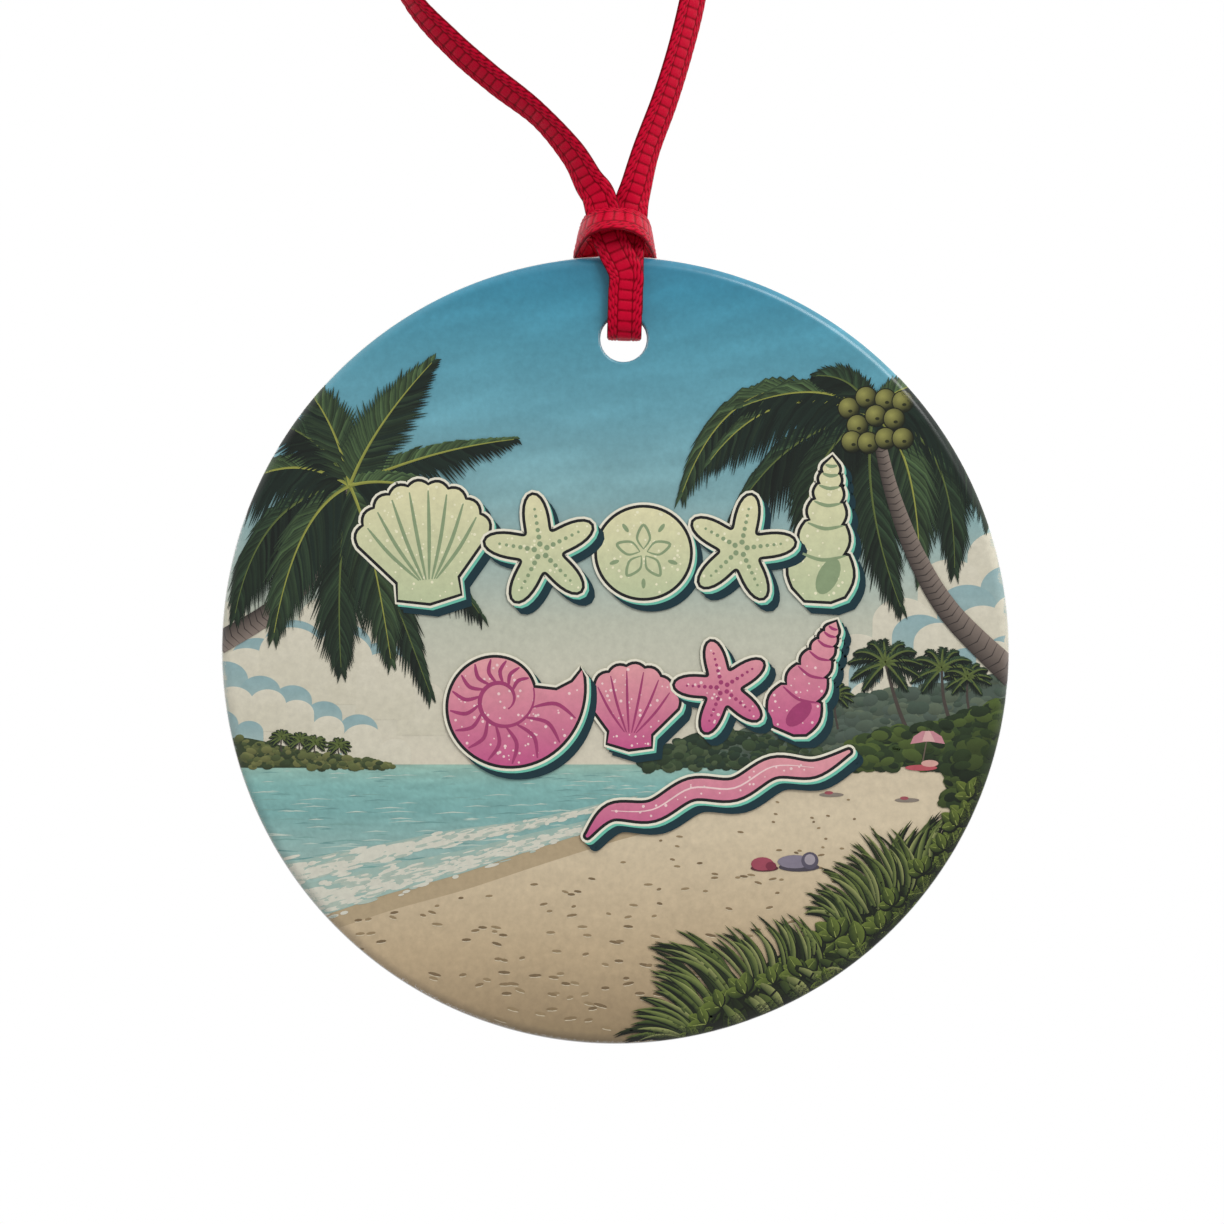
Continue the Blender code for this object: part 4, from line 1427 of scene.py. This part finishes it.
def scallop(ink, x, z, size, turn, colours, lift, seed, ribs=9):
    """A fan shell: a scalloped edge, two small wings at its hinge, and ribs."""
    fan = []
    for step in range(ribs * 6 + 1):
        angle = math.radians(168 - 156 * step / (ribs * 6))
        reach = size * (0.95 + 0.06 * abs(math.sin(math.pi * step / 6)))
        fan.append((reach * math.cos(angle) * 0.98, reach * math.sin(angle) - size * 0.25))
    fan += [(size * 0.42, -size * 0.62), (size * 0.44, -size * 0.86), (0.0, -size * 0.95)]
    fan += [(-size * 0.44, -size * 0.86), (-size * 0.42, -size * 0.62)]
    level = badge(ink, turned_by(fan, x, z, turn)[::-1], colours, lift, seed)
    for rib in range(1, ribs):
        angle = math.radians(168 - 156 * rib / ribs)
        end = (size * 0.88 * math.cos(angle), size * 0.88 * math.sin(angle) - size * 0.25)
        start = (end[0] * 0.16, -size * 0.62)
        middle = ((start[0] + end[0]) * 0.55, (start[1] + end[1]) / 2)
        stroke(ink, turned_by([start, middle, end], x, z, turn), size * 0.05, colours[3], level)


def starfish(ink, x, z, size, turn, colours, lift, seed):
    """A five-armed star with rounded tips and a row of dots down each arm."""
    edge = []
    for step in range(100):
        angle = math.tau * step / 100 + math.pi / 2
        lobe = (1 + math.cos(5 * (angle - math.pi / 2))) / 2
        reach = size * (0.38 + 0.62 * lobe**1.35)
        edge.append((reach * math.cos(angle), reach * math.sin(angle)))
    level = badge(ink, turned_by(edge, x, z, turn), colours, lift, seed)
    for arm in range(5):
        angle = math.tau * arm / 5 + math.pi / 2 + turn
        for dot in range(6):
            reach = size * (0.12 + 0.125 * dot)
            radius = size * (0.05 - 0.005 * dot)
            place = (x + reach * math.cos(angle), z + reach * math.sin(angle))
            ink.oval(*place, radius, radius, linear(colours[3]), level, 10)


def sand_dollar(ink, x, z, size, colours, lift, seed):
    """A round urchin shell with five petals and a small hole between each pair."""
    level = badge(ink, oval_outline(x, z, size, size * 0.97, 64), colours, lift, seed)
    for petal in range(5):
        angle = math.tau * petal / 5 + math.pi / 2
        loop = [(0.08 * size, 0), (0.32 * size, 0.14 * size), (0.6 * size, 0.0), (0.32 * size, -0.14 * size)]
        stroke(ink, turned_by([*loop, loop[0]], x, z, angle), size * 0.06, colours[3], level)
        between = angle + math.pi / 5
        slot = turned_by([(0.66 * size, 0)], x, z, between)[0]
        ink.oval(*slot, size * 0.11, size * 0.045, linear(colours[3]), level, 12, between)


def spire_shell(ink, x, z, size, turn, colours, lift, seed):
    """A tall spiral shell: whorls that shrink to a point, with a line between each pair."""
    whorls = 6
    right, left = [], []
    at = -size
    seams = []
    for whorl in range(whorls):
        tall = size * 0.62 * 0.74**whorl
        wide = size * 0.50 * 0.76**whorl
        for step in range(7):
            share = step / 6
            bulge = wide * (0.80 + 0.20 * math.sin(math.pi * share))
            right.append((bulge, at + tall * share))
            left.append((-bulge, at + tall * (share * 0.9) + tall * 0.1))
        seams.append(((wide * 0.72, at + tall), (0, at + tall * 0.84), (-wide * 0.72, at + tall * 0.98)))
        at += tall
    foot = [(-size * 0.2, -size * 1.12), (size * 0.2, -size * 1.1)]
    outline = [*right, (0, at + size * 0.12), *left[::-1], *foot]
    level = badge(ink, turned_by(outline, x, z, turn), colours, lift, seed)
    for seam in seams:
        stroke(ink, turned_by(seam, x, z, turn), size * 0.055, colours[3], level)
    mouth = turned_by([(size * 0.12, -size * 0.72)], x, z, turn)[0]
    ink.oval(*mouth, size * 0.16, size * 0.3, linear(colours[3]), level + 1, 20, turn - 0.35)


CAP = np.linspace(0, math.pi, 9)[1:-1]


def ribbon_outline(points, widths, steps=8):
    """The outline of a stroke through the points, with its own width at each."""
    rows = smooth([(*point, width) for point, width in zip(points, widths)], steps)
    along = units(np.gradient(rows[:, :2], axis=0))
    aside = left_of(along) * rows[:, 2:3] / 2
    left = rows[:, :2] + aside
    right = rows[:, :2] - aside
    start = [rows[0, :2] + aside[0] * math.cos(t) - along[0] * rows[0, 2] / 2 * math.sin(t) for t in CAP]
    end = [rows[-1, :2] - aside[-1] * math.cos(t) + along[-1] * rows[-1, 2] / 2 * math.sin(t) for t in CAP]
    return [tuple(place) for place in [*right, *end, *left[::-1], *start]]


def nautilus(ink, x, z, size, turn, colours, lift, seed):
    """A chambered spiral shell, whose rim comes once round from its small whorl to its open mouth."""

    def at(angle, share=1.0):
        reach = size * math.exp(0.145 * (angle - math.tau)) * share
        return (reach * math.cos(angle), reach * math.sin(angle))

    rim = [at(math.tau * step / 72) for step in range(73)]
    far, near = rim[-1][0], rim[0][0]
    mouth = [(far * t + near * (1 - t), -0.5 * size * t * (1 - t)) for t in (0.75, 0.4)]
    level = badge(ink, turned_by([*rim, *mouth], x, z, turn), colours, lift, seed)
    inner = [at(-math.tau * 1.2 * (1 - step / 40)) for step in range(41)]
    stroke(ink, turned_by(inner, x, z, turn), size * 0.05, colours[3], level)
    for stripe in range(15):
        angle = math.radians(18 + 22 * stripe)
        start = at(angle - math.tau)
        middle = at(angle + 0.17, 0.68)
        end = at(angle, 0.97)
        stroke(ink, turned_by([start, middle, end], x, z, turn), size * 0.045, colours[3], level + 1)


def ripple(ink, points, widths, colours, lift, seed):
    level = badge(ink, ribbon_outline(points, widths), colours, lift, seed)
    stroke(ink, [(x, z + 0.12) for x, z in points[1:-1]], 0.16, colours[2], level)


def motif(ink):
    """Shells, starfish and waves in cream and pink, where the print has its large decoration."""
    low = MOTIF_LIFT
    scallop(ink, -17.8, 10.6, 6.6, 0.10, CREAM, low, 1)
    starfish(ink, -6.9, 9.2, 5.2, 0.15, CREAM, low + 14, 2)
    sand_dollar(ink, 2.6, 9.0, 4.3, CREAM, low, 3)
    starfish(ink, 11.6, 9.4, 5.0, -0.2, CREAM, low + 14, 4)
    spire_shell(ink, 19.4, 11.2, 6.0, -0.10, CREAM, low, 5)
    nautilus(ink, -10.6, -4.6, 8.0, 0.35, PINK, low + 28, 6)
    scallop(ink, 1.6, -4.8, 4.6, -0.08, PINK, low + 14, 7, 7)
    starfish(ink, 9.9, -3.5, 4.4, 0.25, PINK, low + 28, 8)
    spire_shell(ink, 18.0, -2.4, 5.0, -0.45, PINK, low + 14, 9)
    swell = [(-2.6, -17.2), (-0.4, -15), (3.4, -14.9), (7, -12.9), (11, -12.9), (14.6, -10.9), (18.4, -11)]
    swell += [(21.6, -9.4)]
    ripple(ink, swell, [0.3, 1.3, 1.7, 1.8, 1.8, 1.7, 1.3, 0.3], PINK, low + 42, 10)


def printed_face():
    material = ink_material()
    for name, *painters in (
        ("print_sky_and_sand", sky_and_sand),
        ("print_sea", sea),
        ("print_clouds", clouds),
        ("print_far_shore", far_shore),
        ("print_on_the_beach", on_the_beach),
        ("print_left_palm", left_palm),
        ("print_right_palm", right_palm),
        ("print_foreground", foreground),
        ("print_motif", motif),
    ):
        ink = Ink(name)
        for painter in painters:
            painter(ink)
        ink.build(material)


if __name__ == "__main__":
    bpy.context.scene.view_settings.view_transform = "Standard"
    camera()
    studio_world()
    area_light("key", (0.40, -0.62, 0.52), 0.50, 4.4)
    floor()
    red = ribbon_material()
    closing = end_knot(red)
    legs(red)
    hitch(red)
    glazed_disc(glaze_material())
    printed_face()
